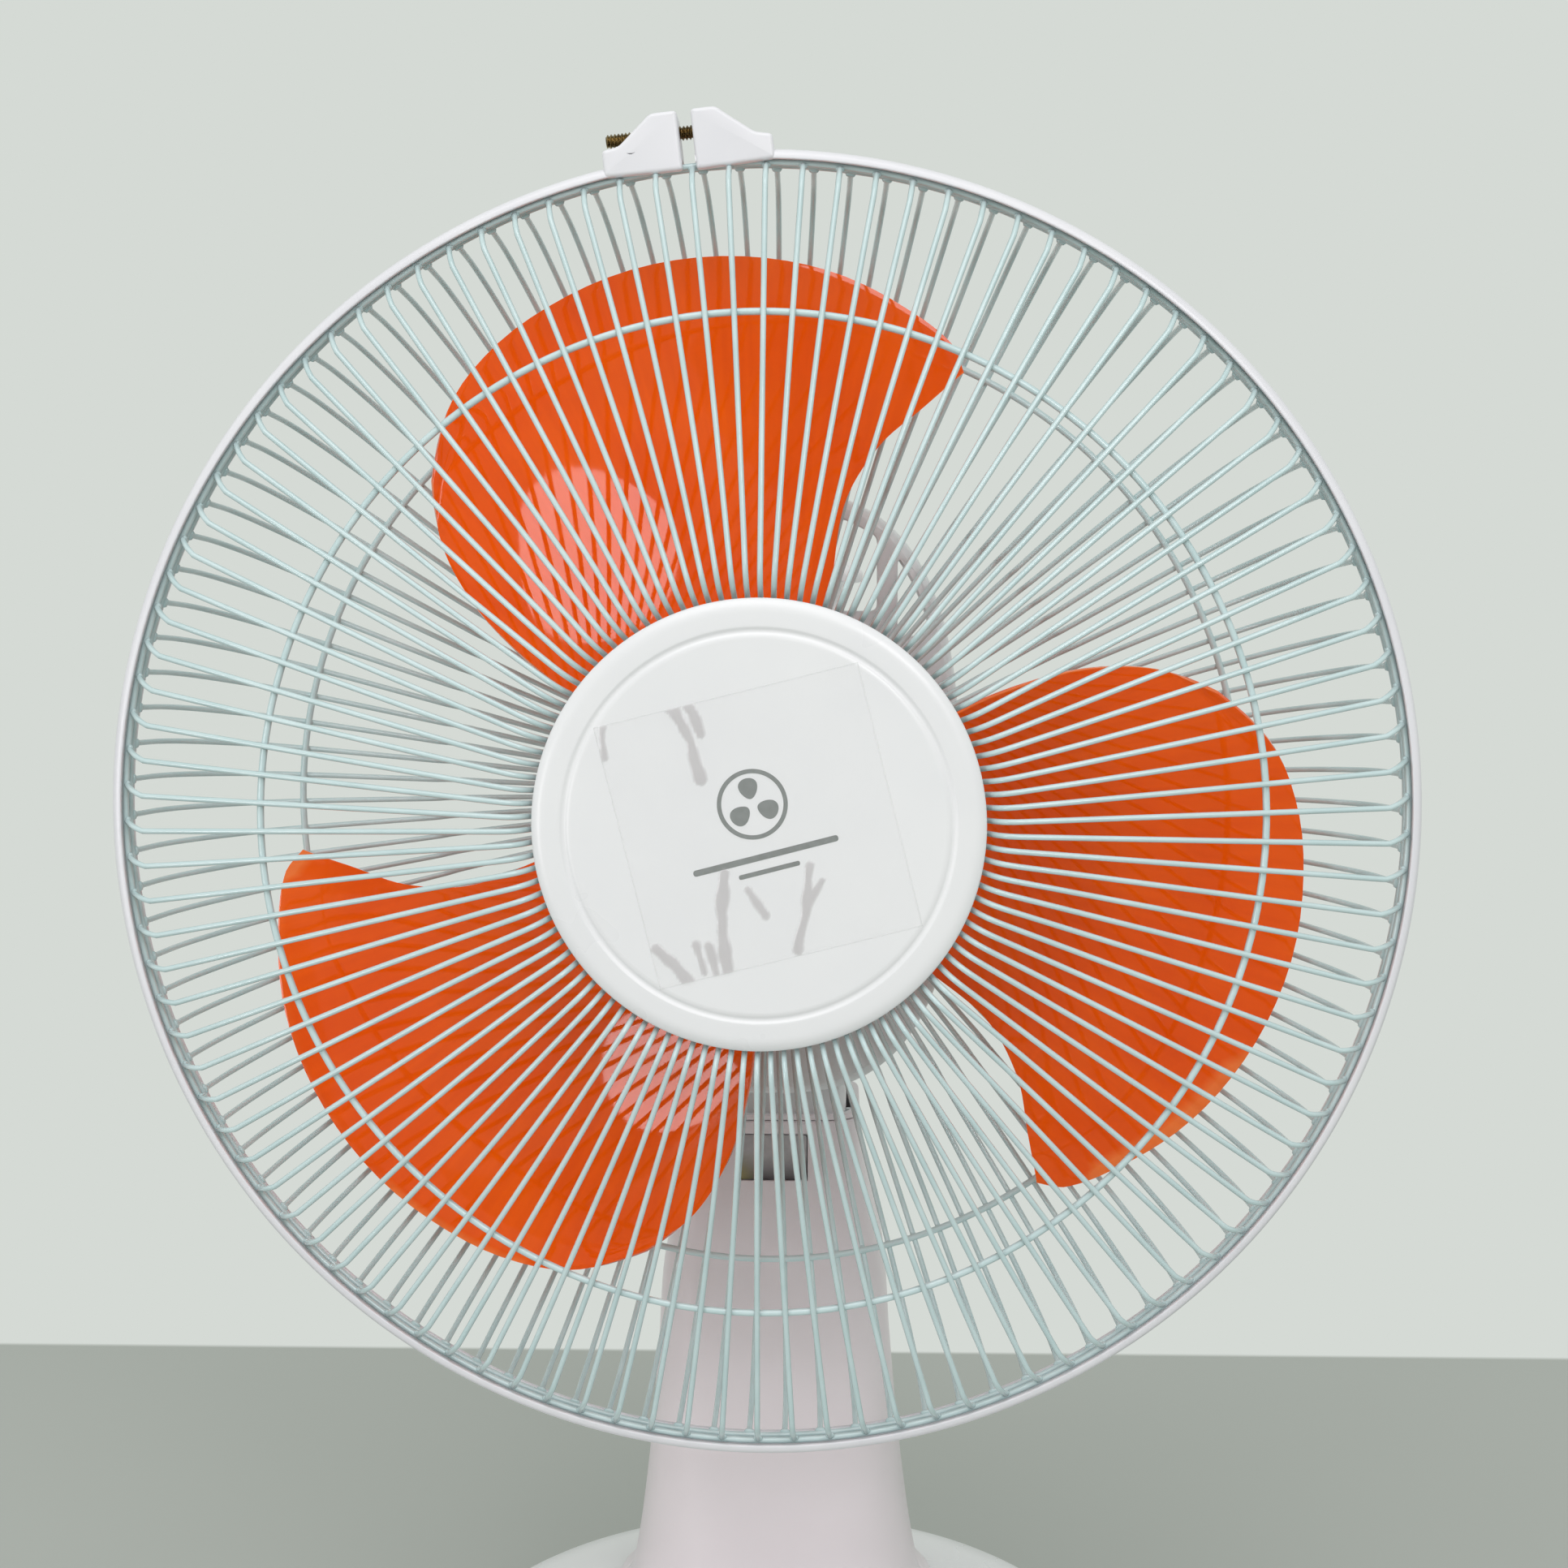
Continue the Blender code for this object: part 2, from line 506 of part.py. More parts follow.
def make_neck(neck, link):
    """Barrel that tilts in the column's top, the swivel pin in it, and the link arm on its own pin."""
    barrel = rod("neck_barrel", 21.5, 45.0, TILT, white_abs, neck, "right", 32)
    bevel(barrel, 2.5, 1)
    boolean(barrel, box("seat_cut", (60.0, 30.0, 10.0), SWIVEL + Vector((0, 0, 4.3))))
    boolean(barrel, rod("tilt_bore", 2.9, 60.0, TILT, facing="right", steps=16))
    boolean(barrel, rod("swivel_bore", 5.4, 20.0, SWIVEL + Vector((0, 0, -2.0)), steps=20))
    boolean(barrel, rod("anchor_bore", 2.4, 20.0, ANCHOR + Vector((0, 0, -89.0)), steps=14))
    rod("swivel_pin", 5.0, 34.0, SWIVEL + Vector((0, 0, 5.6)), zinc_steel, neck, "up", 20)
    rod("link_anchor_pin", 2.0, 31.0, ANCHOR + Vector((0, 0, -82.0)), zinc_steel, neck, "up", 14)
    reach = CRANK + Vector((-9.0, 0.0, 0.0)) - ANCHOR
    length = math.hypot(reach.x, reach.y)
    heading = math.atan2(reach.y, reach.x)
    points = []
    for centre, start in ((length, -90), (0.0, 90)):
        for step in range(7):
            angle = math.radians(start + 30 * step)
            across = centre + 5.0 * math.cos(angle)
            side = 5.0 * math.sin(angle)
            points.append((across * math.cos(heading) - side * math.sin(heading),
                           across * math.sin(heading) + side * math.cos(heading)))
    arm = slab("link_arm", points, 2.0, ANCHOR + Vector((0, 0, -69.6)), zinc_steel, link)
    boolean(arm, rod("link_hole", 2.4, 8.0, ANCHOR + Vector((0, 0, -69.6)), steps=14))


def make_column():
    """Two column halves, the ring that caps them, an inner tube, the tilt pin and a small label."""
    widths = [(41, 52), (44.5, 48.5), (50, 45.3), (85, 40), (124, 36.4), (150, 34.6), (168, 31.2),
              (188, 27.4), (198, 26.6)]
    depths = [(41, 44), (44.5, 41), (50, 38.5), (85, 33.5), (124, 30), (150, 28.4), (168, 27.2),
              (188, 26.2), (198, 26.0)]
    heights = [COLUMN_FOOT - 1, 44.5, 50, 85, 124, 150, 168, 184, COLUMN_TOP - 1.0]
    sections = []
    for height in heights:
        half_width = smooth_value(widths, height)
        half_depth = smooth_value(depths, height)
        power = 2.6 + 3.4 * min(1.0, max(0.0, (height - 60) / 120))
        sections.append((height, oval(half_width, half_depth, power, 28)))
    ground = Vector((0, SWIVEL_Y, 0))
    for side, name in ((-1, "column_front"), (1, "column_back")):
        half = loft(name, sections, ground, column_abs)
        solidify(half, 2.3, -1.0)
        tall = COLUMN_TOP - COLLAR_HEIGHT - GAP - COLUMN_FOOT
        keep = box(name + "_side", (140.0, 80.0, tall),
                   ground + Vector((0, side * (40.0 + GAP / 2), COLUMN_FOOT + tall / 2)))
        boolean(half, keep, "INTERSECT")
        boolean(half, rod(name + "_pin_hole", 2.9, 70.0, TILT, facing="right", steps=16))
        if side < 0:
            boolean(half, box("label_recess", (21.4, 4.0, 14.4), ground + Vector((0, -27.0, LABEL_HEIGHT))))
    ring = slab("column_collar", oval(26.6, 26.0, 6.0, 28), COLLAR_HEIGHT,
                ground + Vector((0, 0, COLUMN_TOP - COLLAR_HEIGHT / 2)),
                column_abs)
    boolean(ring, slab("collar_hole", oval(24.3, 23.7, 6.0, 28), 8.0, ground + Vector((0, 0, COLUMN_TOP))))
    box("column_label", (20.8, 0.5, 13.8), ground + Vector((0, -25.6, LABEL_HEIGHT)), label_grey)
    rod("tilt_pin", 2.5, 51.0, TILT, zinc_steel, facing="right", steps=16)
    tube = [(12, 170), (12, 42.6), (10, 42.6), (10, 170)]
    turned("column_tube", tube, ground, zinc_steel, steps=24)


def make_base():
    """Round base shell, bottom plate, feet, switch, capacitor, cord inlet and screws."""
    edge = BASE_RADIUS
    shell_profile = [(0, 42), (56, 42), (82, 37.8), (103, 29), (112.5, 16), (edge, 3), (edge - 2.5, 3),
                     (110.1, 15), (101.4, 26.8), (81.4, 35.4), (56, 39.5), (0, 39.5)]
    origin = Vector((0, 0, 0))
    shell = turned("base_shell", shell_profile, origin, white_abs, steps=44)
    boolean(shell, box("bezel_hole", (86.6, 26.6, 30.0), Vector((0, BEZEL_Y, 36))))
    boolean(shell, rod("inlet_hole", 7.3, 30.0, Vector((0, 108, INLET_HEIGHT)), facing="back", steps=20))
    plate_profile = [(0, 6.5), (edge - 4.5, 6.5), (edge - 4.5, 4.5), (0, 4.5)]
    plate = turned("base_plate", plate_profile, origin, dark_abs, steps=36)
    for side, label in ((-1, "left"), (1, "right")):
        spot = Vector((88.0 * side, 10.0, 0))
        boolean(shell, rod("shell_boss_" + label, 5.0, 27.0, spot + Vector((0, 0, 20.5)), steps=16), "UNION")
        drill = rod("shell_drill_" + label, 2.1, 16.0, spot + Vector((0, 0, 10.0)), steps=12)
        boolean(shell, drill)
        boolean(plate, drill)
        screw = [(0, 16), (1.8, 16), (1.8, 4.2), (3.6, 4.2), (3.2, 2.4), (0, 2.4)]
        turned("base_screw_" + label, screw, spot, zinc_steel, steps=12)
    feet = (("front_left", -70, -70), ("front_right", 70, -70), ("rear_left", -70, 70),
            ("rear_right", 70, 70))
    for label, x, y in feet:
        turned("rubber_foot_" + label, [(0, 4.2), (10, 4.2), (10, 0.8), (9.2, 0), (0, 0)], Vector((x, y, 0)),
               rubber, steps=16)
    box("switch_body", (76.0, 22.0, 15.0), Vector((0, BEZEL_Y, 19.8)), dark_abs)
    box("start_capacitor", (38.0, 18.0, 24.0), Vector((50, 30, 19)), dark_abs)
    inlet = [(5.5, 114), (7, 112.5), (7, 102), (3.4, 102), (3.4, 114)]
    turned("cord_inlet", inlet, Vector((0, 0, INLET_HEIGHT)), dark_abs, None, "back", 20)


def make_buttons():
    """Bezel with four push buttons that go down into it."""
    bezel = box("button_bezel", (86.0, 26.0, 14.5), Vector((0, BEZEL_Y, 35.25)), white_abs, edge=1.2)
    names = ("button_off", "button_low", "button_medium", "button_high")
    for k, name in enumerate(names):
        spot = Vector((BUTTON_PITCH * (k - 1.5), BEZEL_Y, BUTTON_HEIGHT))
        boolean(bezel, box(name + "_pocket", (18.0, 16.0, 40.0), spot))
        axis = pivot(name + "_travel", spot)
        box(name, (17.3, 15.3, 14.5), spot, column_abs, axis, edge=1.4)


tilt_axis = pivot("tilt_axis", TILT)
swivel_axis = pivot("swivel_axis", SWIVEL, tilt_axis)
spin_axis = pivot("spin_axis", AXIS, swivel_axis)
wheel_axis = pivot("wheel_axis", WHEEL, swivel_axis)
crank_axis = pivot("crank_axis", CRANK, swivel_axis)
knob_axis = pivot("knob_axis", WHEEL + Vector((0, 0, 66)), swivel_axis)
link_axis = pivot("link_axis", ANCHOR + Vector((0, 0, -69.6)), tilt_axis)

make_guards(swivel_axis)
make_badge(swivel_axis)
make_hoop(swivel_axis)
make_blade(spin_axis)
make_motor(swivel_axis)
make_gear_train(swivel_axis, wheel_axis, crank_axis, knob_axis)
make_neck(tilt_axis, link_axis)
make_column()
make_base()
make_buttons()
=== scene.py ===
# Desk fan: wire guards, glossy moulded blade, tilting and swivelling head, hollow column, push-button base.
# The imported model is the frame. This script rebuilds what shows, finishes every part and lights it.

import json
import math

import bmesh
import bpy
from mathutils import Matrix, Vector


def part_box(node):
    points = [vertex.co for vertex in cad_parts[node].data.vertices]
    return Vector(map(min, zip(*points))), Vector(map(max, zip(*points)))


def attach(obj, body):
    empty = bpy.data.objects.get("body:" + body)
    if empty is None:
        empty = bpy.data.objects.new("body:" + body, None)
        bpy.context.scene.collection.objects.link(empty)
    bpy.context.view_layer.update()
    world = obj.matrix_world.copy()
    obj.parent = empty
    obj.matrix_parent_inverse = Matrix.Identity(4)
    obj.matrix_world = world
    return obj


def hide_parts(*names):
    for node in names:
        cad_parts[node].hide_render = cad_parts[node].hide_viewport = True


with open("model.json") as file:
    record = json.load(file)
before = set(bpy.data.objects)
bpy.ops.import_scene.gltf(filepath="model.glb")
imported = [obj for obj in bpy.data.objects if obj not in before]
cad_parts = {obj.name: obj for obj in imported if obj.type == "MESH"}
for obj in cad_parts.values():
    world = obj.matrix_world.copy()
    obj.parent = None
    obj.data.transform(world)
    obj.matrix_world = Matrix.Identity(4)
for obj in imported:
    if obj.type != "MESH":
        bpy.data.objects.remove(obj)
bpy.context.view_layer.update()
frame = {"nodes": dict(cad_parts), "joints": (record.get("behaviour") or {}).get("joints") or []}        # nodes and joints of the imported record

mm = 0.001
noiseSpan = {"From Min": 0.32, "From Max": 0.68}       # nearly all the values of a noise texture lie in here
joints = {joint["name"]: joint for joint in frame["joints"]}
spinPoint = Vector(joints["blade_spin"]["pos_m"])      # on the head's axis, in the plane of the rim
swivelPoint = Vector(joints["head_swivel"]["pos_m"])
tiltPoint = Vector(joints["head_tilt"]["pos_m"])
wheelPoint = Vector(joints["wheel_spin"]["pos_m"])
crankPoint = Vector(joints["crank_spin"]["pos_m"])
columnFoot = Vector((0.0, swivelPoint.y, 0.0))
floorPoint = Vector((0.0, 0.0, 0.0))

# columns are where a piece's own x, y and z point
alongHead = Matrix(((1, 0, 0), (0, 0, 1), (0, -1, 0)))     # own z points back along the head's axis
alongX = Matrix(((0, 0, 1), (0, 1, 0), (-1, 0, 0)))
upright = Matrix.Identity(3)


def toLinear(code):
    channels = [int(code[i:i + 2], 16) / 255 for i in (0, 2, 4)]
    return [*(c / 12.92 if c <= 0.04045 else ((c + 0.055) / 1.055) ** 2.4 for c in channels), 1.0]


def addNode(tree, kind, settings=None, links=None):
    # colours are given as hex; a key is a property of the node or one of its sockets
    node = tree.nodes.new(kind)
    for key, value in (settings or {}).items():
        if hasattr(node, str(key)):
            setattr(node, key, value)
        else:
            node.inputs[key].default_value = toLinear(value) if isinstance(value, str) else value
    for key, source in (links or {}).items():
        tree.links.new(source, node.inputs[key])
    return node


def makeFinish(name, look, **sockets):
    # every finish has drifting colour and gloss, paler or darker edges, and a fine grain in relief
    material = bpy.data.materials.new(name)
    material.use_nodes = True
    tree = material.node_tree
    shader = tree.nodes["Principled BSDF"]
    for socket, value in sockets.items():
        shader.inputs[socket.replace("_", " ")].default_value = value
    place = addNode(tree, "ShaderNodeTexCoord").outputs["Object"]
    patches = addNode(tree, "ShaderNodeTexNoise", {"Scale": 1 / (look["patch"] * mm), "Detail": 3.0},
                      {"Vector": place}).outputs["Fac"]
    share = addNode(tree, "ShaderNodeMapRange", noiseSpan, {"Value": patches}).outputs["Result"]
    colour = addNode(tree, "ShaderNodeMix", {"data_type": "RGBA", 6: look["dark"], 7: look["light"]},
                     {0: share}).outputs[2]
    pointed = addNode(tree, "ShaderNodeNewGeometry").outputs["Pointiness"]
    edges = addNode(tree, "ShaderNodeMapRange", {"From Min": 0.52, "From Max": 0.62, "To Max": look["edgeShare"]},
                    {"Value": pointed}).outputs["Result"]
    colour = addNode(tree, "ShaderNodeMix", {"data_type": "RGBA", 7: look["edge"]}, {0: edges, 6: colour}).outputs[2]
    tree.links.new(colour, shader.inputs["Base Color"])
    glossSpan = {"To Min": look["rough"] - look["drift"], "To Max": look["rough"] + look["drift"]}
    gloss = addNode(tree, "ShaderNodeMapRange", noiseSpan | glossSpan, {"Value": patches})
    tree.links.new(gloss.outputs["Result"], shader.inputs["Roughness"])
    grain = addNode(tree, "ShaderNodeTexNoise", {"Scale": 1 / (look["grain"] * mm), "Detail": 2.0}, {"Vector": place})
    relief = addNode(tree, "ShaderNodeBump", {"Strength": look["relief"], "Distance": look["depth"] * mm},
                     {"Height": grain.outputs["Fac"]})
    tree.links.new(relief.outputs["Normal"], shader.inputs["Normal"])
    return {"material": material, "tree": tree, "shader": shader, "place": place, "colour": colour, "relief": relief}


# Powder-coated steel wire: a satin mint skin with the orange peel of baked powder, thinner and darker on edges
powderCoat = {"dark": "BED3D4", "light": "CBDDDE", "patch": 14, "edge": "A9C3C5", "edgeShare": 0.35,
              "rough": 0.2, "drift": 0.04, "grain": 0.7, "relief": 0.2, "depth": 0.03}
# Moulded ABS: cool white with a soft sheen and a faint spark-eroded grain; convex edges are a shade paler
whiteAbs = {"dark": "E3E4E6", "light": "E7E8E9", "patch": 45, "edge": "F5F4F6", "edgeShare": 0.6,
            "rough": 0.3, "drift": 0.04, "grain": 0.5, "relief": 0.1, "depth": 0.02}
# The hoop's ABS is a flexible grade, a shade greyer than the shells
hoopAbs = {"dark": "DCDCE1", "light": "E2E2E6", "patch": 40, "edge": "EEEEF1", "edgeShare": 0.5,
           "rough": 0.32, "drift": 0.05, "grain": 0.5, "relief": 0.12, "depth": 0.02}
# The column's ABS comes from another batch, a touch more lavender
columnAbs = {"dark": "E0D8DC", "light": "E6DEE2", "patch": 50, "edge": "EFE9ED", "edgeShare": 0.5,
             "rough": 0.36, "drift": 0.05, "grain": 0.5, "relief": 0.14, "depth": 0.03}
# Moulded SAN blade: deep glossy orange with radial flow lines; the thin edges carry a painted highlight, a lighter
# orange
orangeSan = {"dark": "F45602", "light": "FA6004", "patch": 26, "edge": "FF8A45", "edgeShare": 0.7,
             "rough": 0.035, "drift": 0.012, "grain": 9, "relief": 0.003, "depth": 0.02}
# Zinc-plated steel: bluish bright metal, cloudy where the plating varies
zincSteel = {"dark": "A9AEB4", "light": "C3C7CB", "patch": 5, "edge": "D5D8DA", "edgeShare": 0.5,
             "rough": 0.3, "drift": 0.08, "grain": 0.25, "relief": 0.2, "depth": 0.02}
# Passivated brass-coloured plating on rolled threads: brown, with a painted highlight of pale gold on the thread
# crests
passivatedBrass = {"dark": "5E4C30", "light": "9C8A62", "patch": 1.6, "edge": "E8DCB8", "edgeShare": 0.9,
                   "rough": 0.24, "drift": 0.08, "grain": 0.2, "relief": 0.3, "depth": 0.02}
# Sintered bronze: dull reddish metal with an open grain that holds oil
sinteredBronze = {"dark": "7E5832", "light": "A87C4C", "patch": 2, "edge": "BE9363", "edgeShare": 0.4,
                  "rough": 0.5, "drift": 0.1, "grain": 0.15, "relief": 0.6, "depth": 0.04}
# Laminated iron: blued sheets stacked along the shaft
laminatedIron = {"dark": "4C5056", "light": "6A6E74", "patch": 6, "edge": "84888D", "edgeShare": 0.5,
                 "rough": 0.48, "drift": 0.1, "grain": 0.5, "relief": 0.3, "depth": 0.03}
# Enamelled copper: reddish lacquered wire wound in bundles
enamelledCopper = {"dark": "8A3F1E", "light": "B5602F", "patch": 4, "edge": "C97844", "edgeShare": 0.5,
                   "rough": 0.3, "drift": 0.08, "grain": 0.6, "relief": 0.5, "depth": 0.1}
# Natural acetal: waxy off-white
naturalAcetal = {"dark": "DDD9CC", "light": "EAE7DC", "patch": 12, "edge": "F2F0E8", "edgeShare": 0.5,
                 "rough": 0.42, "drift": 0.05, "grain": 0.4, "relief": 0.15, "depth": 0.02}
# Black ABS: dark grey with a matt moulded grain
darkAbs = {"dark": "2E2F33", "light": "3B3C41", "patch": 18, "edge": "55565B", "edgeShare": 0.5,
           "rough": 0.45, "drift": 0.06, "grain": 0.45, "relief": 0.3, "depth": 0.04}
# Moulded rubber: black, matt, a bloom of dust in patches
mouldedRubber = {"dark": "1D1D20", "light": "2C2C2F", "patch": 6, "edge": "4A4A4C", "edgeShare": 0.6,
                 "rough": 0.8, "drift": 0.08, "grain": 0.3, "relief": 0.5, "depth": 0.05}
# Pad-printed ink: flat grey with worn pinholes
greyInk = {"dark": "747876", "light": "7F8482", "patch": 1.5, "edge": "8A8F8D", "edgeShare": 0.3,
           "rough": 0.45, "drift": 0.06, "grain": 0.2, "relief": 0.1, "depth": 0.01}

finishes = {}
for finishName, look, sockets in (
        ("powderCoatedSteel", powderCoat, {"IOR": 1.5, "Coat_Weight": 0.4, "Coat_Roughness": 0.08}),
        ("mouldedWhiteAbs", whiteAbs, {"IOR": 1.53}),
        ("mouldedHoopAbs", hoopAbs, {"IOR": 1.53}),
        ("mouldedColumnAbs", columnAbs, {"IOR": 1.53}),
        ("glossyOrangeSan", orangeSan, {"IOR": 1.57, "Specular_IOR_Level": 0.24}),
        ("zincPlatedSteel", zincSteel, {"Metallic": 1.0}),
        ("passivatedBrass", passivatedBrass, {"Metallic": 1.0}),
        ("sinteredBronze", sinteredBronze, {"Metallic": 1.0}),
        ("laminatedIron", laminatedIron, {"Metallic": 0.9}),
        ("enamelledCopper", enamelledCopper, {"Metallic": 0.8}),
        ("naturalAcetal", naturalAcetal, {"IOR": 1.48}),
        ("mouldedDarkAbs", darkAbs, {"IOR": 1.53}),
        ("mouldedRubber", mouldedRubber, {"IOR": 1.52}),
        ("padPrintedInk", greyInk, {"IOR": 1.45})):
    finishes[finishName] = makeFinish(finishName, look, **sockets)


def addFlowLines():
    # melt runs out from the hub, so the colour streaks along the radius
    made = finishes["glossyOrangeSan"]
    tree = made["tree"]
    fromAxis = addNode(tree, "ShaderNodeVectorMath", {"operation": "SUBTRACT", 1: spinPoint},
                       {0: made["place"]}).outputs[0]
    parts = addNode(tree, "ShaderNodeSeparateXYZ", None, {0: fromAxis})
    angle = addNode(tree, "ShaderNodeMath", {"operation": "ARCTAN2"},
                    {0: parts.outputs["Z"], 1: parts.outputs["X"]}).outputs[0]
    reach = addNode(tree, "ShaderNodeVectorMath", {"operation": "LENGTH"}, {0: fromAxis}).outputs["Value"]
    streakPlace = addNode(tree, "ShaderNodeCombineXYZ", None, {"X": angle, "Y": reach}).outputs[0]
    stretched = addNode(tree, "ShaderNodeVectorMath", {"operation": "MULTIPLY", 1: (42.0, 16.0, 1.0)},
                        {0: streakPlace}).outputs[0]
    streaks = addNode(tree, "ShaderNodeTexNoise", {"Scale": 1.0, "Detail": 4.0}, {"Vector": stretched})
    share = addNode(tree, "ShaderNodeMapRange", noiseSpan | {"To Max": 0.25}, {"Value": streaks.outputs["Fac"]})
    dulled = addNode(tree, "ShaderNodeMix", {"data_type": "RGBA", 7: "DE4300"},
                     {0: share.outputs["Result"], 6: made["colour"]})
    tree.links.new(dulled.outputs[2], made["shader"].inputs["Base Color"])


def addSheetLines(finishName, spacing, axis):
    # stacked sheets or wound turns show as bands, drawn coarser than real so they still read
    made = finishes[finishName]
    tree = made["tree"]
    bands = addNode(tree, "ShaderNodeTexWave", {"bands_direction": axis, "Scale": 0.314 / (spacing * mm),
                                                "Distortion": 0.6, "Detail": 1.0}, {"Vector": made["place"]})
    tree.links.new(bands.outputs["Fac"], made["relief"].inputs["Height"])


addFlowLines()
addSheetLines("laminatedIron", 1.0, "Y")
addSheetLines("enamelledCopper", 1.2, "DIAGONAL")
print("finishes ready")


def newShape():
    return {"verts": [], "faces": []}


def place3(point, spot, turn):
    return spot + turn @ (Vector(point) * mm)


def onAxis(depth):
    # a point on the head's axis, this far behind the rim plane
    return spinPoint + Vector((0.0, depth * mm, 0.0))


def outward(degrees):
    # a direction square to the head's axis, turning from right to up
    return Vector((math.cos(math.radians(degrees)), 0.0, math.sin(math.radians(degrees))))


def soften(points, cut=None, closed=True, steps=4):
    # round each corner of an (a, b, cut) line, where cut is how far from the corner the curve starts
    made = []
    last = len(points) - 1
    for i, point in enumerate(points):
        here = Vector(point[:2])
        reach = point[2] if len(point) > 2 else (cut or 0)
        if reach <= 0 or (not closed and i in (0, last)):
            made.append(here)
            continue
        before, after = Vector(points[i - 1][:2]), Vector(points[(i + 1) % (last + 1)][:2])
        start = here + (before - here).normalized() * min(reach, (before - here).length * 0.48)
        end = here + (after - here).normalized() * min(reach, (after - here).length * 0.48)
        for k in range(steps + 1):
            u = k / steps
            made.append(start * (1 - u) ** 2 + here * 2 * u * (1 - u) + end * u ** 2)
    return made


def addStrip(shape, rows, wrapRows, wrapAcross, caps=False):
    # skin a grid of points with faces
    start = len(shape["verts"])
    across = len(rows[0])
    for row in rows:
        shape["verts"] += row
    for r in range(len(rows) if wrapRows else len(rows) - 1):
        low, high = start + r * across, start + (r + 1) % len(rows) * across
        for i in range(across if wrapAcross else across - 1):
            j = (i + 1) % across
            shape["faces"].append((low + i, low + j, high + j, high + i))
    if caps:
        shape["faces"].append(tuple(start + i for i in reversed(range(across))))
        shape["faces"].append(tuple(start + (len(rows) - 1) * across + i for i in range(across)))


def addTurned(shape, profile, spot, turn, steps=96, sweep=(0.0, 360.0), grip=None):
    # turn a closed (radius, height) profile; grip = (count, depth, from radius) flutes its outer part
    full = abs(sweep[1] - sweep[0]) > 359.9
    rows = []
    for k in range(steps if full else steps + 1):
        angle = math.radians(sweep[0] + (sweep[1] - sweep[0]) * k / steps)
        row = []
        for radius, height in profile:
            if grip and radius > grip[2]:
                share = min(1.0, (radius - grip[2]) / 1.5)
                radius -= grip[1] * share * (0.5 + 0.5 * math.cos(angle * grip[0])) ** 3
            row.append(place3((radius * math.cos(angle), radius * math.sin(angle), height), spot, turn))
        rows.append(row)
    addStrip(shape, rows, full, True, caps=not full)


def addTube(shape, path, side, radius, around=8):
    # sweep a round wire along a path that lies in one plane; side is that plane's normal
    rows = []
    for i, point in enumerate(path):
        along = (path[min(i + 1, len(path) - 1)] - path[max(i - 1, 0)]).normalized()
        out = along.cross(side).normalized()
        across = out.cross(along).normalized()
        ring = []
        for k in range(around):
            angle = 2 * math.pi * k / around
            ring.append(point + (across * math.cos(angle) + out * math.sin(angle)) * radius)
        rows.append(ring)
    addStrip(shape, rows, False, True, caps=True)


def addBlob(shape, spot, arms, around=8, levels=5):
    # a weld bead: a ball squashed to three arms
    rows = []
    for level in range(1, levels):
        tilt = math.pi * level / levels
        rows.append([spot + arms[2] * math.cos(tilt)
                     + (arms[0] * math.cos(2 * math.pi * k / around)
                        + arms[1] * math.sin(2 * math.pi * k / around)) * math.sin(tilt)
                     for k in range(around)])
    addStrip(shape, rows, False, True, caps=True)


def addPlate(shape, outlines, thickness, spot, turn, edge=0.3):
    # a flat plate with softened edges; the first outline is its rim and the others are holes
    curve = bpy.data.curves.new("plate", "CURVE")
    curve.dimensions = "2D"
    curve.fill_mode = "BOTH"
    curve.extrude = max(thickness / 2 - edge, 0.01) * mm
    curve.bevel_depth = edge * mm
    curve.bevel_resolution = 3
    curve.offset = -edge * mm
    for outline in outlines:
        spline = curve.splines.new("POLY")
        spline.points.add(len(outline) - 1)
        for point, at in zip(spline.points, outline):
            point.co = (at[0] * mm, at[1] * mm, 0.0, 1.0)
        spline.use_cyclic_u = True
    guide = bpy.data.objects.new("plate", curve)
    bpy.context.scene.collection.objects.link(guide)
    mesh = bpy.data.meshes.new_from_object(guide.evaluated_get(bpy.context.evaluated_depsgraph_get()))
    start = len(shape["verts"])
    shape["verts"] += [spot + turn @ vert.co for vert in mesh.vertices]
    shape["faces"] += [tuple(start + i for i in face.vertices) for face in mesh.polygons]
    bpy.data.objects.remove(guide, do_unlink=True)
    bpy.data.curves.remove(curve)
    bpy.data.meshes.remove(mesh)


def addPrism(shape, outline, thickness, spot, turn):
    # a thin flat shape with square edges, for printed marks
    rows = [[place3((a, b, c), spot, turn) for a, b in outline] for c in (-thickness / 2, thickness / 2)]
    addStrip(shape, rows, False, True, caps=True)


def roundedRect(width, height, corner, steps=6, middle=(0.0, 0.0)):
    points = []
    for k, (sx, sy) in enumerate(((1, 1), (-1, 1), (-1, -1), (1, -1))):
        for i in range(steps + 1):
            angle = math.radians(90 * k + 90 * i / steps)
            points.append((middle[0] + sx * (width / 2 - corner) + corner * math.cos(angle),
                           middle[1] + sy * (height / 2 - corner) + corner * math.sin(angle)))
    return points


def oval(halfWidth, halfDepth, power, count=96, centre=(0.0, 0.0)):
    points = []
    for i in range(count):
        angle = 2 * math.pi * i / count
        c, s = math.cos(angle), math.sin(angle)
        points.append((centre[0] + math.copysign(abs(c) ** (2 / power), c) * halfWidth,
                       centre[1] + math.copysign(abs(s) ** (2 / power), s) * halfDepth))
    return points


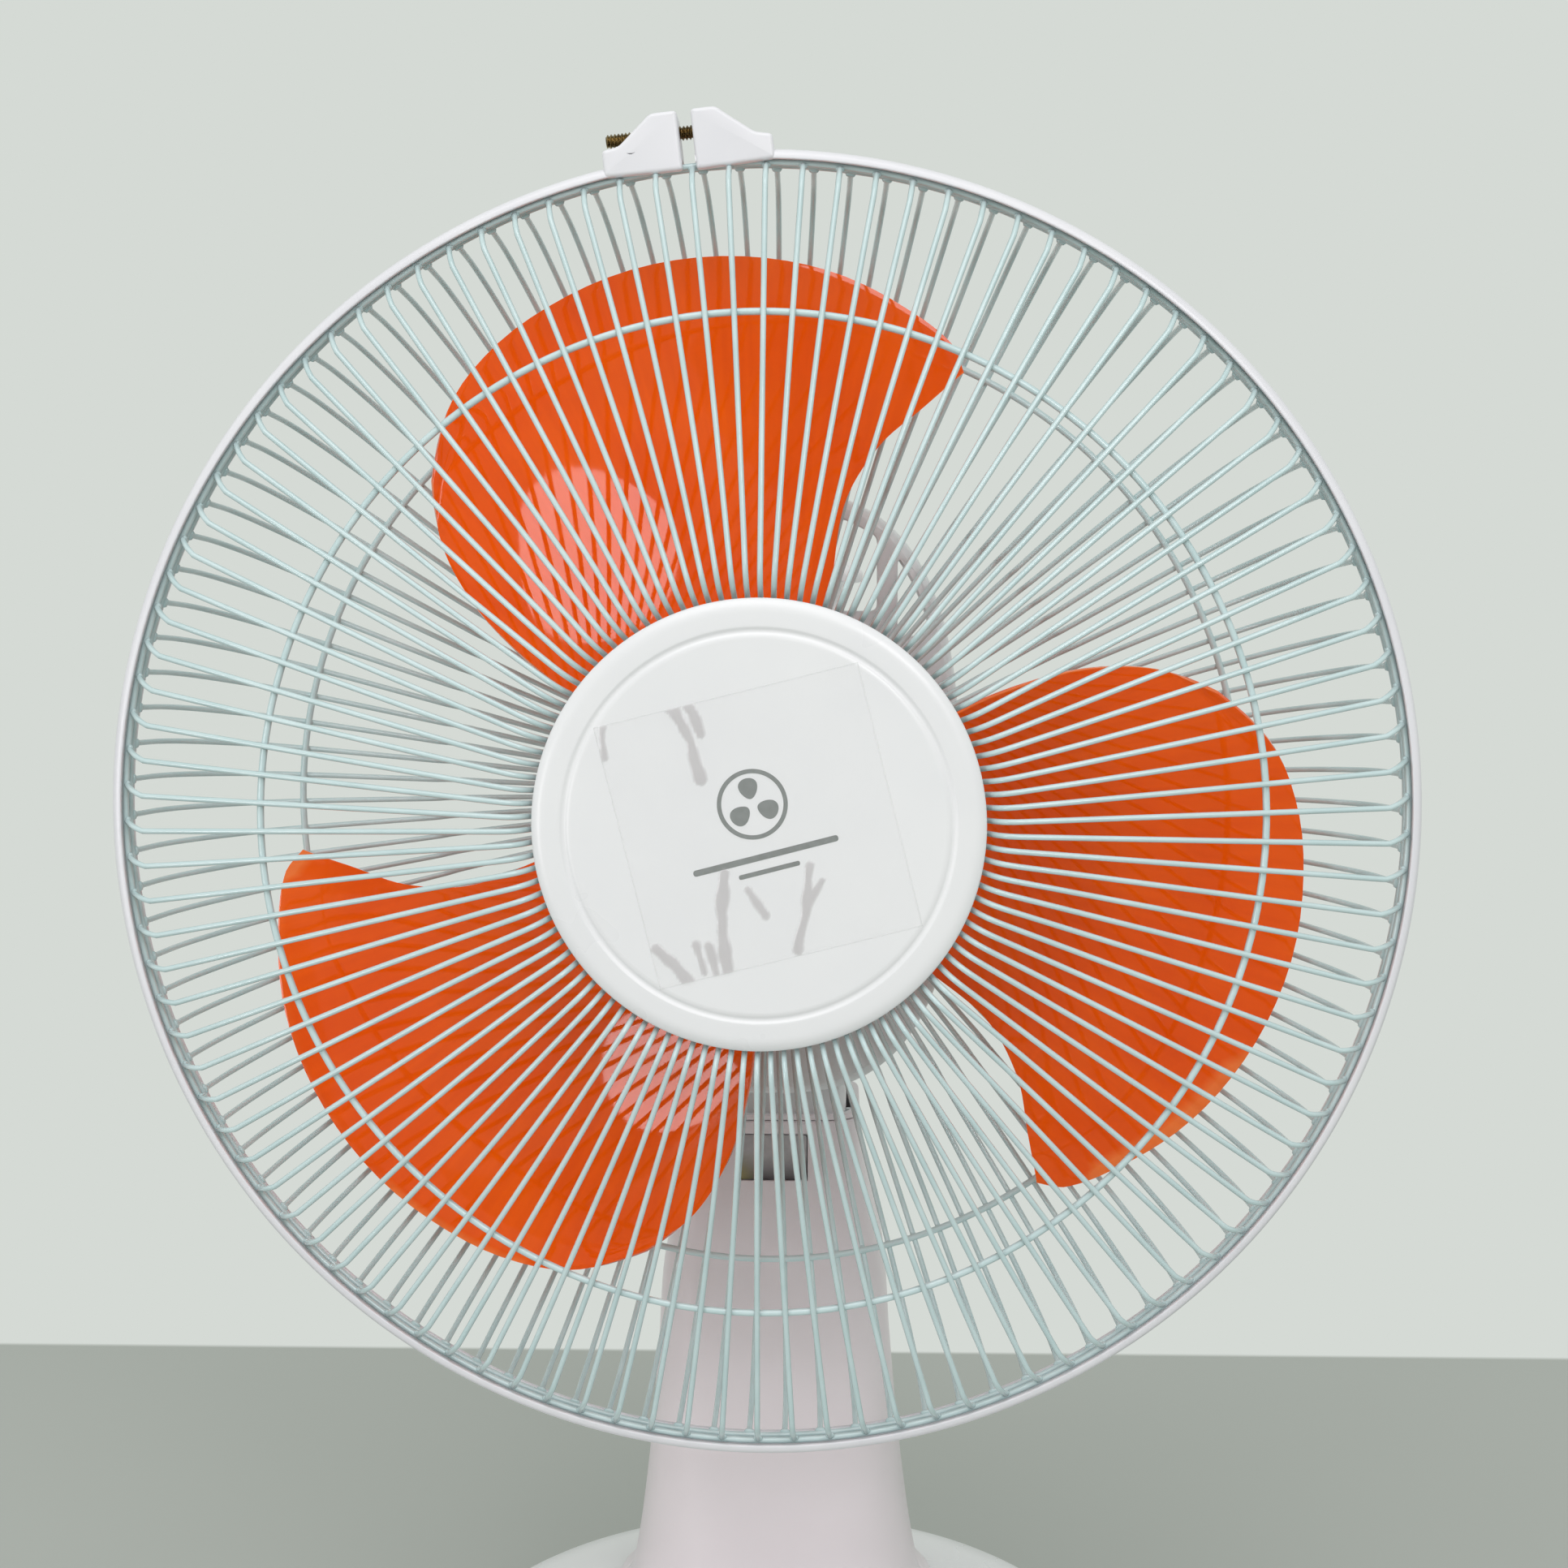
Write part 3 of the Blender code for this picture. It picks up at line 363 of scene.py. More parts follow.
def smoothValue(table, where):
    last = len(table) - 1
    i = max(0, min(last - 1, sum(1 for key, _ in table[1:] if key <= where)))
    before, start, end, after = (table[max(0, min(last, k))] for k in (i - 1, i, i + 1, i + 2))
    span = end[0] - start[0]
    u = max(0.0, min(1.0, (where - start[0]) / span))
    slopeIn = (end[1] - before[1]) / (end[0] - before[0]) * span
    slopeOut = (after[1] - start[1]) / (after[0] - start[0]) * span
    h = (2 * u ** 3 - 3 * u ** 2 + 1, u ** 3 - 2 * u ** 2 + u, -2 * u ** 3 + 3 * u ** 2, u ** 3 - u ** 2)
    return h[0] * start[1] + h[1] * slopeIn + h[2] * end[1] + h[3] * slopeOut


def toObject(name, shape):
    mesh = bpy.data.meshes.new(name)
    mesh.from_pydata(shape["verts"], [], shape["faces"])
    build = bmesh.new()
    build.from_mesh(mesh)
    bmesh.ops.remove_doubles(build, verts=build.verts, dist=0.000002)
    bmesh.ops.dissolve_degenerate(build, edges=build.edges, dist=0.000002)
    bmesh.ops.recalc_face_normals(build, faces=build.faces)
    build.to_mesh(mesh)
    build.free()
    piece = bpy.data.objects.new(name, mesh)
    bpy.context.scene.collection.objects.link(piece)
    return piece


def settle(piece):
    # apply the modifiers
    mesh = bpy.data.meshes.new_from_object(piece.evaluated_get(bpy.context.evaluated_depsgraph_get()))
    piece.modifiers.clear()
    piece.data = mesh


def joinInto(piece, others):
    build = bmesh.new()
    build.from_mesh(piece.data)
    for other in others:
        build.from_mesh(other.data)
        bpy.data.objects.remove(other, do_unlink=True)
    build.to_mesh(piece.data)
    build.free()


def roundEdges(piece, width, above):
    # round every edge sharper than this many degrees
    soft = piece.modifiers.new("soft", "BEVEL")
    soft.width = width * mm
    soft.segments = 2
    soft.limit_method = "ANGLE"
    soft.angle_limit = math.radians(above)
    settle(piece)


def cutWith(piece, shapes, operation="DIFFERENCE"):
    tools = []
    for k, shape in enumerate(shapes):
        tool = toObject("%s_tool_%d" % (piece.name, k), shape)
        step = piece.modifiers.new("cut", "BOOLEAN")
        step.operation = operation
        step.object = tool
        tools.append(tool)
    settle(piece)
    for tool in tools:
        bpy.data.objects.remove(tool, do_unlink=True)


def finishPiece(piece, finishName, body, nodes=(), sharp=35):
    piece.data.materials.clear()
    piece.data.materials.append(finishes[finishName]["material"])
    piece.data.shade_smooth()
    piece.data.set_sharp_from_angle(angle=math.radians(sharp))
    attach(piece, body)
    if nodes:
        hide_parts(*nodes)
    return piece


def blockShape(low, high):
    shape = newShape()
    corners = [Vector((x, y, z)) for x in (low[0], high[0]) for y in (low[1], high[1]) for z in (low[2], high[2])]
    shape["verts"] = corners
    shape["faces"] = [(0, 1, 3, 2), (4, 6, 7, 5), (0, 4, 5, 1), (2, 3, 7, 6), (0, 2, 6, 4), (1, 5, 7, 3)]
    return shape


def rodShape(radius, start, end, around=40):
    # a plain round drill between two points
    shape = newShape()
    along = (end - start).normalized()
    side = along.orthogonal().normalized()
    other = along.cross(side)
    rows = [[point + (side * math.cos(2 * math.pi * k / around) + other * math.sin(2 * math.pi * k / around))
             * radius for k in range(around)] for point in (start, end)]
    addStrip(shape, rows, False, True, caps=True)
    return shape


# (radius, depth behind the rim plane, corner cut) along one wire, from the hub outwards
guard = {"wires": 110, "firstWire": 1.226, "wireRadius": 0.76, "ringRadius": 0.95, "rimWire": 0.86,
         "rimCircle": 170.15, "frontRim": -2.4, "rearRim": 1.2, "rearLag": 0.27, "lagDrift": 0.07,
         "kickUp": 2.1,       # the front wires spring up this far where they meet the rim
         "frontPath": [(44, -20.4, 0), (57.2, -21.0, 2.5), (62.4, -29.0, 4.5), (130.6, -16.6, 10),
                       (165.4, -9.9, 3.2), (169.6, -3.2, 0)],
         "rearPath": [(44, 57.6, 0), (93.2, 53.2, 2.5), (96.4, 50.2, 2.5), (131.5, 42.9, 8),
                      (150.5, 35.0, 12), (166.2, 18.8, 10), (169.6, 1.6, 0)],
         "frontRing": (130.6, -15.2), "frontHub": (52.0, -18.6), "rearRing": (133.0, 41.0),
         "hubPlate": [(50.4, 56.8, 0.4), (50.4, 55.4, 0.6), (47.0, 54.6, 1.0), (42.5, 56.0, 1.0), (30.5, 56.2, 1.2),
                      (28.6, 55.2, 0.4), (28.6, 56.6, 0.4), (30.2, 57.4, 1.0), (42.8, 57.2, 1.0), (47.2, 56.0, 1.0)],
         "hubHoles": {"circle": 36.5, "radius": 2.4}}


def ringProfile(radius, depth, thickness, around=10):
    return [(radius + thickness * math.cos(2 * math.pi * k / around),
             depth + thickness * math.sin(2 * math.pi * k / around)) for k in range(around)]


def makeGuard(name, path, rings, welds, phaseOf, kick):
    shape = newShape()
    line = soften(path, closed=False, steps=5)
    shoulder = path[-2][0]
    for k in range(guard["wires"]):
        out, side = outward(phaseOf(k)), outward(phaseOf(k) + 90)
        points = []
        for radius, depth in line:
            lift = max(0.0, (radius - shoulder + 2.0) / (path[-1][0] - shoulder + 2.0)) * kick
            across = side * lift * out.x
            points.append(spinPoint + (out * radius + across + Vector((0.0, depth, 0.0))) * mm)
        addTube(shape, points, side, guard["wireRadius"] * mm)
        for radius, depth, size, lifted in welds:
            spot = spinPoint + (out * radius + side * (kick * out.x * lifted)
                                + Vector((0.0, depth, 0.0))) * mm
            wobble = 1.0 + 0.16 * math.sin(k * 2.4) * math.cos(k * 0.7)
            addBlob(shape, spot, (out * size[0] * wobble * mm, side * size[1] * mm,
                                  Vector((0.0, size[2] * mm, 0.0))))
    for radius, depth, thickness in rings:
        addTurned(shape, ringProfile(radius, depth, thickness), spinPoint, alongHead, 220)
    return toObject(name, shape)


def makeGuards():
    pitch = 360 / guard["wires"]

    def frontPhase(k):
        return guard["firstWire"] + k * pitch

    def rearPhase(k):
        # the two baskets are not quite in step, and the lag drifts round the rim
        lag = guard["rearLag"] - guard["lagDrift"] * math.cos(math.radians(frontPhase(k)))
        return frontPhase(k) - lag * pitch

    ring, rim = guard["ringRadius"], guard["rimWire"]
    circle = guard["rimCircle"]
    front = makeGuard("guardFront", guard["frontPath"],
                      [(*guard["frontRing"], ring), (*guard["frontHub"], 1.2), (circle, guard["frontRim"], rim)],
                      [(guard["frontRing"][0], guard["frontRing"][1] - 0.7, (1.3, 1.0, 0.9), 0),
                       (circle - 0.7, guard["frontRim"] - 0.5, (0.9, 1.3, 0.9), 1)],
                      frontPhase, guard["kickUp"])
    finishPiece(front, "powderCoatedSteel", "head", ["front_guard"], 50)

    rear = makeGuard("guardRear", guard["rearPath"],
                     [(*guard["rearRing"], ring), (circle, guard["rearRim"], rim)],
                     [(guard["rearRing"][0], guard["rearRing"][1] + 0.8, (1.3, 1.0, 0.9), 0),
                      (circle - 0.8, guard["rearRim"] + 0.3, (0.95, 1.5, 0.7), 0)],
                     rearPhase, 0.0)
    finishPiece(rear, "powderCoatedSteel", "head", ["rear_guard"], 50)

    # a stamped hub plate with a rolled lip and four fixing holes, which the wires are welded to
    plate = newShape()
    addTurned(plate, soften(guard["hubPlate"]), spinPoint, alongHead, 160)
    piece = toObject("guardRearPlate", plate)
    holes = guard["hubHoles"]
    drills = []
    for angle in (45, 135, 225, 315):
        out = outward(angle) * holes["circle"] * mm
        drills.append(rodShape(holes["radius"] * mm, onAxis(50) + out, onAxis(62) + out, 20))
    cutWith(piece, drills)
    finishPiece(piece, "powderCoatedSteel", "head")
    print("guards made")


badge = {"face": -28.7, "radius": 58.0, "groove": 49.6,
         "backPlate": [(0.0, -16.2, 0), (24, -16.2, 0.5), (26, -17.0, 0.5), (44, -17.0, 0.5), (46, -16.2, 0.5),
                       (52, -16.2, 0.5), (52, -18.1, 0.5), (0.0, -18.1, 0)],
         "emblemTurn": 14.5, "emblemRise": 6.0, "inkThickness": 0.06,
         "bars": [(38.0, 1.6, 0.7, 7.6), (16.0, 1.2, 0.5, 11.4)],     # width, height, corner, distance down
         "filmSize": 69.0, "filmTurn": 14.0, "filmLift": 0.1, "filmCells": 150, "filmThickness": 0.05}


def makeBadge():
    face, edge, groove = badge["face"], badge["radius"], badge["groove"]
    profile = [(0.0, face)] + [(r, face) for r in (20, 40, 47.6)]
    profile += soften([(groove - 1.1, face, 0.25), (groove - 0.3, face + 0.45, 0.3), (groove + 0.3, face + 0.45, 0.3),
                       (groove + 1.1, face, 0.25), (groove + 1.9, face, 0), (edge - 2.2, face + 0.06, 1.5),
                       (edge, face + 1.15, 0.9), (edge, face + 1.9, 0.4), (edge - 1.2, face + 2.4, 0.5),
                       (52, -24.0, 0.4), (49.5, -21.0, 0.4), (46.5, -21.0, 0.4), (46.5, -26.4, 0.4)], closed=False)
    profile += [(0.0, -26.4)]
    shape = newShape()
    addTurned(shape, profile, spinPoint, alongHead, 180)
    piece = toObject("badgeDish", shape)
    finishPiece(piece, "mouldedWhiteAbs", "head", ["front_badge"], 50)

    back = newShape()
    addTurned(back, soften(badge["backPlate"]), spinPoint, alongHead)
    finishPiece(toObject("badgeBackPlate", back), "mouldedWhiteAbs", "head", ["badge_back_plate"])

    # generic pictogram: three petals in a ring over two plain bars
    emblem = newShape()
    turn = Matrix.Rotation(math.radians(-badge["emblemTurn"]), 3, "Y") @ alongHead
    ink = badge["inkThickness"]
    spot = onAxis(face - ink / 2)
    middle = spot + turn @ Vector((0.0, -badge["emblemRise"] * mm, 0.0))
    addTurned(emblem, [(9.0, -ink / 2), (9.0, ink / 2), (7.9, ink / 2), (7.9, -ink / 2)], middle, turn, 72)
    for k in range(3):
        petal = []
        heading = math.radians(120 * k - 90)
        for a in range(0, 360, 12):
            px = 4.1 + 2.7 * math.cos(math.radians(a))
            py = 1.9 * math.sin(math.radians(a)) * (1.25 + 0.35 * math.cos(math.radians(a)))
            petal.append((px * math.cos(heading) - py * math.sin(heading),
                          px * math.sin(heading) + py * math.cos(heading)))
        addPrism(emblem, petal, ink, middle, turn)
    for width, height, corner, down in badge["bars"]:
        addPrism(emblem, roundedRect(width, height, corner, 4, (0.0, down)), ink, spot, turn)
    finishPiece(toObject("badgeEmblem", emblem), "padPrintedInk", "head")
    print("badge made")


# protective film: (x, z) spines of its blisters from the badge's middle, with half width and height in mm
blisters = [([(-25.3, 32.5), (-21.5, 29.5), (-17.2, 22.0), (-14.6, 12.0)], 1.5, 0.42),
            ([(-19.3, 33.5), (-16.5, 29.0), (-14.6, 23.5)], 1.3, 0.4),
            ([(-38.8, 28.7), (-39.6, 24.0), (-39.0, 17.8)], 1.0, 0.35),
            ([(-8.5, -12.0), (-9.5, -22.0), (-8.0, -36.8)], 1.6, 0.42),
            ([(-2.6, -16.0), (1.9, -22.3)], 1.3, 0.36),
            ([(12.9, -9.8), (12.4, -20.0), (10.0, -31.2)], 1.3, 0.4), ([(16.2, -13.4), (12.4, -20.0)], 1.1, 0.36),
            ([(-25.9, -31.2), (-21.5, -35.0), (-17.0, -40.5)], 1.5, 0.4),
            ([(-16.0, -30.2), (-13.7, -37.4)], 1.1, 0.36), ([(-12.6, -30.6), (-10.6, -38.2)], 1.2, 0.38)]


def blisterAt(x, z):
    best = 0.0
    for spine, halfWidth, height in blisters:
        for (ax, az), (bx, bz) in zip(spine, spine[1:]):
            dx, dz = bx - ax, bz - az
            u = max(0.0, min(1.0, ((x - ax) * dx + (z - az) * dz) / (dx * dx + dz * dz)))
            away = math.hypot(x - ax - dx * u, z - az - dz * u)
            wavy = halfWidth * (1.0 + 0.22 * math.sin(z * 0.45 + x * 0.3) + 0.1 * math.sin(z * 0.9 - x * 0.6))
            best = max(best, height * max(0.0, 1 - (away / wavy) ** 2) ** 0.5 if away < wavy else 0.0)
    return best


def makeFilm():
    count, size = badge["filmCells"], badge["filmSize"]
    shape = newShape()
    turn = math.radians(badge["filmTurn"])
    liftShadeValues, sides = [], []
    for low in (True, False):
        rows = []
        for i in range(count + 1):
            row = []
            for j in range(count + 1):
                a, b = (i / count - 0.5) * size, (j / count - 0.5) * size
                x, z = a * math.cos(turn) - b * math.sin(turn), a * math.sin(turn) + b * math.cos(turn)
                up = blisterAt(x, z)
                creep = 0.03 * math.sin(x * 0.21 + 1.0) * math.cos(z * 0.17)
                off = badge["filmLift"] + up + creep + (0.0 if low else badge["filmThickness"])
                row.append(spinPoint + Vector((x, badge["face"] - off, z)) * mm)
                border = i in (0, count) or j in (0, count)
                # painted shade mask: the border and the blisters get a greyer, less clear film
                liftShadeValues.append(0.55 if border else min(1.0, up / 0.3))
            rows.append(row)
        sides.append(rows)
    for rows in sides:
        addStrip(shape, rows, False, False)
    across = count + 1
    shift = across * across
    rim = ([(i, 0) for i in range(count)] + [(count, j) for j in range(count)]
           + [(i, count) for i in range(count, 0, -1)] + [(0, j) for j in range(count, 0, -1)])
    for (ia, ja), (ib, jb) in zip(rim, rim[1:] + rim[:1]):
        a, b = ia * across + ja, ib * across + jb
        shape["faces"].append((a, b, b + shift, a + shift))
    mesh = bpy.data.meshes.new("badgeFilm")
    mesh.from_pydata(shape["verts"], [], shape["faces"])
    attribute = mesh.attributes.new("lifted", "FLOAT", "POINT")
    attribute.data.foreach_set("value", liftShadeValues)
    build = bmesh.new()
    build.from_mesh(mesh)
    bmesh.ops.recalc_face_normals(build, faces=build.faces)
    build.to_mesh(mesh)
    build.free()
    piece = bpy.data.objects.new("badgeFilm", mesh)
    bpy.context.scene.collection.objects.link(piece)

    # Clear polypropylene film: all but invisible where it clings; where air lifts it off the badge, and along its
    # border, it carries painted shade, greyer and less clear
    look = {"dark": "D4D8D8", "light": "E0E4E3", "patch": 9, "edge": "E6D8D8", "edgeShare": 0.3,
            "rough": 0.1, "drift": 0.04, "grain": 3.0, "relief": 0.15, "depth": 0.05}
    made = makeFinish("clearPolypropylene", look, IOR=1.49)
    tree = made["tree"]
    lifted = addNode(tree, "ShaderNodeAttribute", {"attribute_name": "lifted"}).outputs["Fac"]
    # the grey tint and the lower clarity are painted shade that follows this mask
    tint = addNode(tree, "ShaderNodeMix", {"data_type": "RGBA", 6: "EFEFF0", 7: "CDC8C9"}, {0: lifted})
    tree.links.new(tint.outputs[2], made["shader"].inputs["Base Color"])
    cover = addNode(tree, "ShaderNodeMapRange", {"To Min": 0.03, "To Max": 0.24}, {"Value": lifted})
    tree.links.new(cover.outputs["Result"], made["shader"].inputs["Alpha"])
    finishes["clearPolypropylene"] = made
    finishPiece(piece, "clearPolypropylene", "head", ["badge_film"], 60)
    print("film made")


hoop = {"channel": [(170.6, -5.6, 0.5), (172.6, -5.3, 1.2), (173.6, -2.8, 1.6), (173.9, 0.6, 1.8), (173.6, 4.0, 1.6),
                    (172.6, 6.5, 1.2), (170.6, 6.8, 0.5), (170.6, 5.4, 0.4), (171.8, 5.1, 0.6), (172.35, 0.6, 2.0),
                    (171.8, -3.9, 0.6), (170.6, -4.2, 0.4)],
        "clamp": 96.3, "gap": 1.8, "gapCircle": 173, "earFront": -5.95, "earBack": 6.7,
        "screwCircle": 179.4, "screwDepth": 0.6,
        "nick": [(-15.6, 174.75), (-14.9, 174.45), (-14.3, 174.4), (-13.3, 174.8), (-14.2, 174.62), (-14.8, 174.68)],
        "leftEar": [(-1.7, 168.9), (-1.7, 184.2), (-8.6, 184.2), (-17.6, 176.8), (-22.0, 176.2), (-22.0, 169.3)],
        "rightEar": [(1.9, 168.7), (1.9, 184.2), (8.3, 184.2), (11.7, 181.4), (17.8, 176.6), (22.3, 175.6),
                     (22.3, 169.2)]}


def makeHoop():
    shape = newShape()
    clamp = hoop["clamp"]
    profile = soften(hoop["channel"])
    gapAngle = math.degrees(hoop["gap"] / hoop["gapCircle"])
    turnRight = Matrix.Rotation(math.radians(90 - clamp), 3, "Y")
    # turned pieces run clockwise when seen from the front, so the sweep starts past the gap
    addTurned(shape, profile, spinPoint, alongHead, 260, (-clamp + gapAngle, -clamp + 360 - gapAngle))
    piece = toObject("rimHoop", shape)
    ears = []
    deep = hoop["earBack"] - hoop["earFront"]
    middle = onAxis((hoop["earBack"] + hoop["earFront"]) / 2)
    for outline in (hoop["leftEar"], hoop["rightEar"]):
        ear = newShape()
        flat = [(p[0], -p[1]) for p in soften(outline, cut=1.1)]
        addPlate(ear, [flat], deep, middle, turnRight @ alongHead, 1.0)
        block = toObject("ear", ear)
        # hollow from the back, where the screw and its nut sit, and a slot that the rim rings run in
        hollow = newShape()
        centre = Vector((sum(p[0] for p in outline) / len(outline), 177.5))
        inner = [((p[0] - centre[0]) * 0.86 + centre[0], -((max(p[1], 172.6) - centre[1]) * 0.8 + centre[1]))
                 for p in outline]
        addPlate(hollow, [inner], 12.0, middle + Vector((0.0, 3.2 * mm, 0.0)), turnRight @ alongHead, 0.1)
        groove = newShape()
        addTurned(groove, [(166, -3.9), (166, 8), (172.2, 8), (172.2, -3.9)], spinPoint, alongHead, 40,
                  (-clamp - 12, -clamp + 12))
        cutWith(block, [hollow, groove])
        ears.append(block)
    joinInto(piece, ears)
    finishPiece(piece, "mouldedHoopAbs", "head", ["rim_hoop"], 40)

    # a small dark nick where a tool slipped on the left ear
    nick = newShape()
    line = [(a, -b) for a, b in hoop["nick"]]
    addPrism(nick, line, 0.05, onAxis(hoop["earFront"] - 0.01), turnRight @ alongHead)
    finishPiece(toObject("earNick", nick), "mouldedDarkAbs", "head")
    print("hoop made")


screw = {"radius": 1.95, "root": 1.3, "pitch": 0.95, "start": -21.0, "end": 7.2, "headRadius": 3.7, "headEnd": 10.6,
         "slotFrom": 9.4, "slotWidth": 0.9}


def makeClampScrew():
    out, right = outward(hoop["clamp"]), outward(hoop["clamp"] - 90)
    spot = spinPoint + (out * hoop["screwCircle"] + Vector((0.0, hoop["screwDepth"], 0.0))) * mm
    back = right.cross(out)
    shape = newShape()
    rows = []
    stepsPerTurn, around = 8, 24
    total = int((screw["end"] - screw["start"]) / screw["pitch"] * stepsPerTurn)
    for i in range(total + 1):
        along = screw["start"] + i / stepsPerTurn * screw["pitch"]
        taper = min(1.0, (along - screw["start"]) / 1.0 + 0.35)
        ring = []
        for k in range(around):
            angle = 2 * math.pi * k / around
            turns = (along / screw["pitch"] + k / around) % 1.0
            crest = 1 - abs(turns * 2 - 1)
            radius = (screw["root"] + (screw["radius"] - screw["root"]) * crest * taper) * mm
            ring.append(spot + right * along * mm + (out * math.cos(angle) + back * math.sin(angle)) * radius)
        rows.append(ring)
    addStrip(shape, rows, False, True, caps=True)
    turnRight = Matrix((right, back, out)).transposed() @ Matrix(((0, 0, 1), (1, 0, 0), (0, 1, 0)))
    head = soften([(0.0, screw["end"] - 0.2, 0), (screw["headRadius"], screw["end"] - 0.2, 0.3),
                   (screw["headRadius"], 9.6, 0.9), (2.6, screw["headEnd"], 0.8), (0.0, screw["headEnd"], 0)],
                  closed=False)
    addTurned(shape, head, spot, turnRight, 40)
    piece = toObject("clampScrew", shape)
    slotShape = newShape()
    rows = [[spot + (right * a + back * b * screw["slotWidth"] / 2 + out * c * 5) * mm
             for b, c in ((-1, -1), (1, -1), (1, 1), (-1, 1))] for a in (screw["slotFrom"], screw["headEnd"] + 0.9)]
    addStrip(slotShape, rows, False, True, caps=True)
    cutWith(piece, [slotShape])
    finishPiece(piece, "passivatedBrass", "head", ["clamp_screw"], 28)
    print("clamp screw made")


blade = {"lead": [(25, 68), (45, 71.5), (62, 73.9), (85, 75.8), (104, 72.8), (118, 68.6), (131, 65.6)],
         "trail": [(25, 147), (62, 147.9), (87, 145.6), (100.5, 143.2), (113, 140), (126, 135)],
         "rim": [(65.6, 131), (68, 136.5), (75, 142.2), (82.5, 147), (90, 149.7), (97.5, 150.8), (105, 150.4),
                 (112.5, 148.3), (120, 144.9), (127.5, 138.5), (135, 126)],
         # degrees where the rim starts and how far it runs, and mm from the root to the end of each edge
         "rimStart": 65.6, "rimSpan": 69.4, "root": 25, "leadSpan": 106, "trailSpan": 101,
         # the leaf's pitch from edge to edge, its swell half way out and its loss at the tip
         "pitch": 24, "pitchSwell": 8, "pitchLoss": 5, "middle": 19.5, "cup": 3.0,
         "thickness": 1.7, "cells": (44, 48), "ribs": 6,
         "hub": [(26.6, 37.8, 1.0), (27.0, 4.2, 2.5), (19.0, 4.2, 0.8), (19.0, 8.0, 0.8), (4.3, 8.0, 0.6),
                 (4.3, 37.8, 0.6), (9.0, 37.8, 0.6), (9.0, 14.0, 0.8), (24.6, 14.0, 0.8), (24.6, 37.8, 0.4)],
         "nut": [(0.0, -13.4, 0), (6, -12.9, 1.5), (14, -9.9, 2.0), (18, -4.0, 1.6), (18, 3.5, 0.5),
                 (16.4, 3.5, 0.5), (16.4, -2.0, 0.8), (5.2, -4.0, 0.6), (4.4, 3.5, 0.4), (4.3, -6.0, 0.4),
                 (0.0, -6.0, 0)]}


def leafPoint(s, v):
    # s runs from the hub to the tip circle and v from the leading to the trailing edge
    across = max(v, 0.0) ** 1.15
    root = blade["root"]
    radius = root + (smoothValue(blade["rim"], blade["rimStart"] + blade["rimSpan"] * across) - root) * s
    leadAngle = smoothValue(blade["lead"], min(root + blade["leadSpan"], root + blade["leadSpan"] * s))
    trailAngle = smoothValue(blade["trail"], min(root + blade["trailSpan"], root + blade["trailSpan"] * s))
    angle = math.radians(leadAngle + (trailAngle - leadAngle) * across)
    pitch = blade["pitch"] + blade["pitchSwell"] * math.sin(math.pi * min(1.0, s * 1.1)) - blade["pitchLoss"] * s
    depth = blade["middle"] + pitch * (0.5 - v) + blade["cup"] * math.sin(math.pi * v)
    return Vector((radius * math.cos(angle), depth, radius * math.sin(angle)))


def makeBlade():
    rowsCount, colsCount = blade["cells"]
    leaves = []
    for k in range(3):
        spin = Matrix.Rotation(2 * math.pi * k / 3, 3, "Y").inverted()
        rows = []
        for i in range(rowsCount + 1):
            s = i / rowsCount
            row = []
            for j in range(colsCount + 1):
                v = 0.5 - 0.5 * math.cos(math.pi * j / colsCount)
                row.append(spinPoint + spin @ leafPoint(s, v) * mm)
            rows.append(row)
        shape = newShape()
        addStrip(shape, rows, False, False)
        leaf = toObject("leaf", shape)
        skin = leaf.modifiers.new("skin", "SOLIDIFY")
        skin.thickness = blade["thickness"] * mm
        skin.offset = 0.0
        skin.use_even_offset = True
        roundEdges(leaf, 0.5, 50)
        leaves.append(leaf)
    hub = newShape()
    addTurned(hub, soften(blade["hub"]), spinPoint, alongHead, 120)
    for k in range(blade["ribs"]):
        # ribs from the boss to the hub's wall
        angle = 360 / blade["ribs"] * (k + 0.5)
        out, side = outward(angle), outward(angle + 90)
        rows = [[spinPoint + (out * r + side * b + Vector((0, t, 0))) * mm
                 for b, t in ((-0.8, 13.5), (0.8, 13.5), (0.7, 34), (-0.7, 34))] for r in (8.5, 25.2)]
        addStrip(hub, rows, False, True, caps=True)
    piece = toObject("fanBlade", hub)
    joinInto(piece, leaves)
    finishPiece(piece, "glossyOrangeSan", "rotor", ["fan_blade"], 40)

    nut = newShape()
    addTurned(nut, soften(blade["nut"]), spinPoint, alongHead, 192, grip=(16, 1.1, 14.5))
    finishPiece(toObject("bladeNut", nut), "glossyOrangeSan", "rotor", ["blade_nut"])
    print("blade made")


shield = {"halfWidth": 55.5, "halfHeight": 89.0, "power": 2.7, "bore": 20.4,
          "handle": [(-31.0, 54.0), (31.0, 54.0), (31.0, 75.6), (22.0, 80.2), (12.0, 82.4), (0.0, 83.0),
                     (-12.0, 82.4), (-22.0, 80.2), (-31.0, 75.6)],
          "sideWindow": [(37.0, 47.0), (45.8, 46.5), (46.2, 57.5), (42.2, 65.0), (37.0, 69.5)],
          "ventAngles": (13, 167, 195, 345), "ventSpan": 15, "ventReach": (32, 47),
          # the skirt: how far in from the outline, and how far back
          "skirt": [(4.0, 59.15), (2.4, 59.2), (1.0, 59.8), (0.3, 60.9), (0.0, 62.6), (0.0, 75.4), (0.3, 76.0),
                    (2.0, 76.0), (2.4, 75.4), (2.4, 64.0), (3.2, 62.2), (4.6, 61.75)],
          "frontWall": 2.6, "frontMiddle": 60.42,
          "ribs": [(-34.0, 62.0, (-1, 1)), (34.0, 62.0, (-1, 1)), (-17.5, 45.0, (-1,)), (17.5, 45.0, (-1,))]}


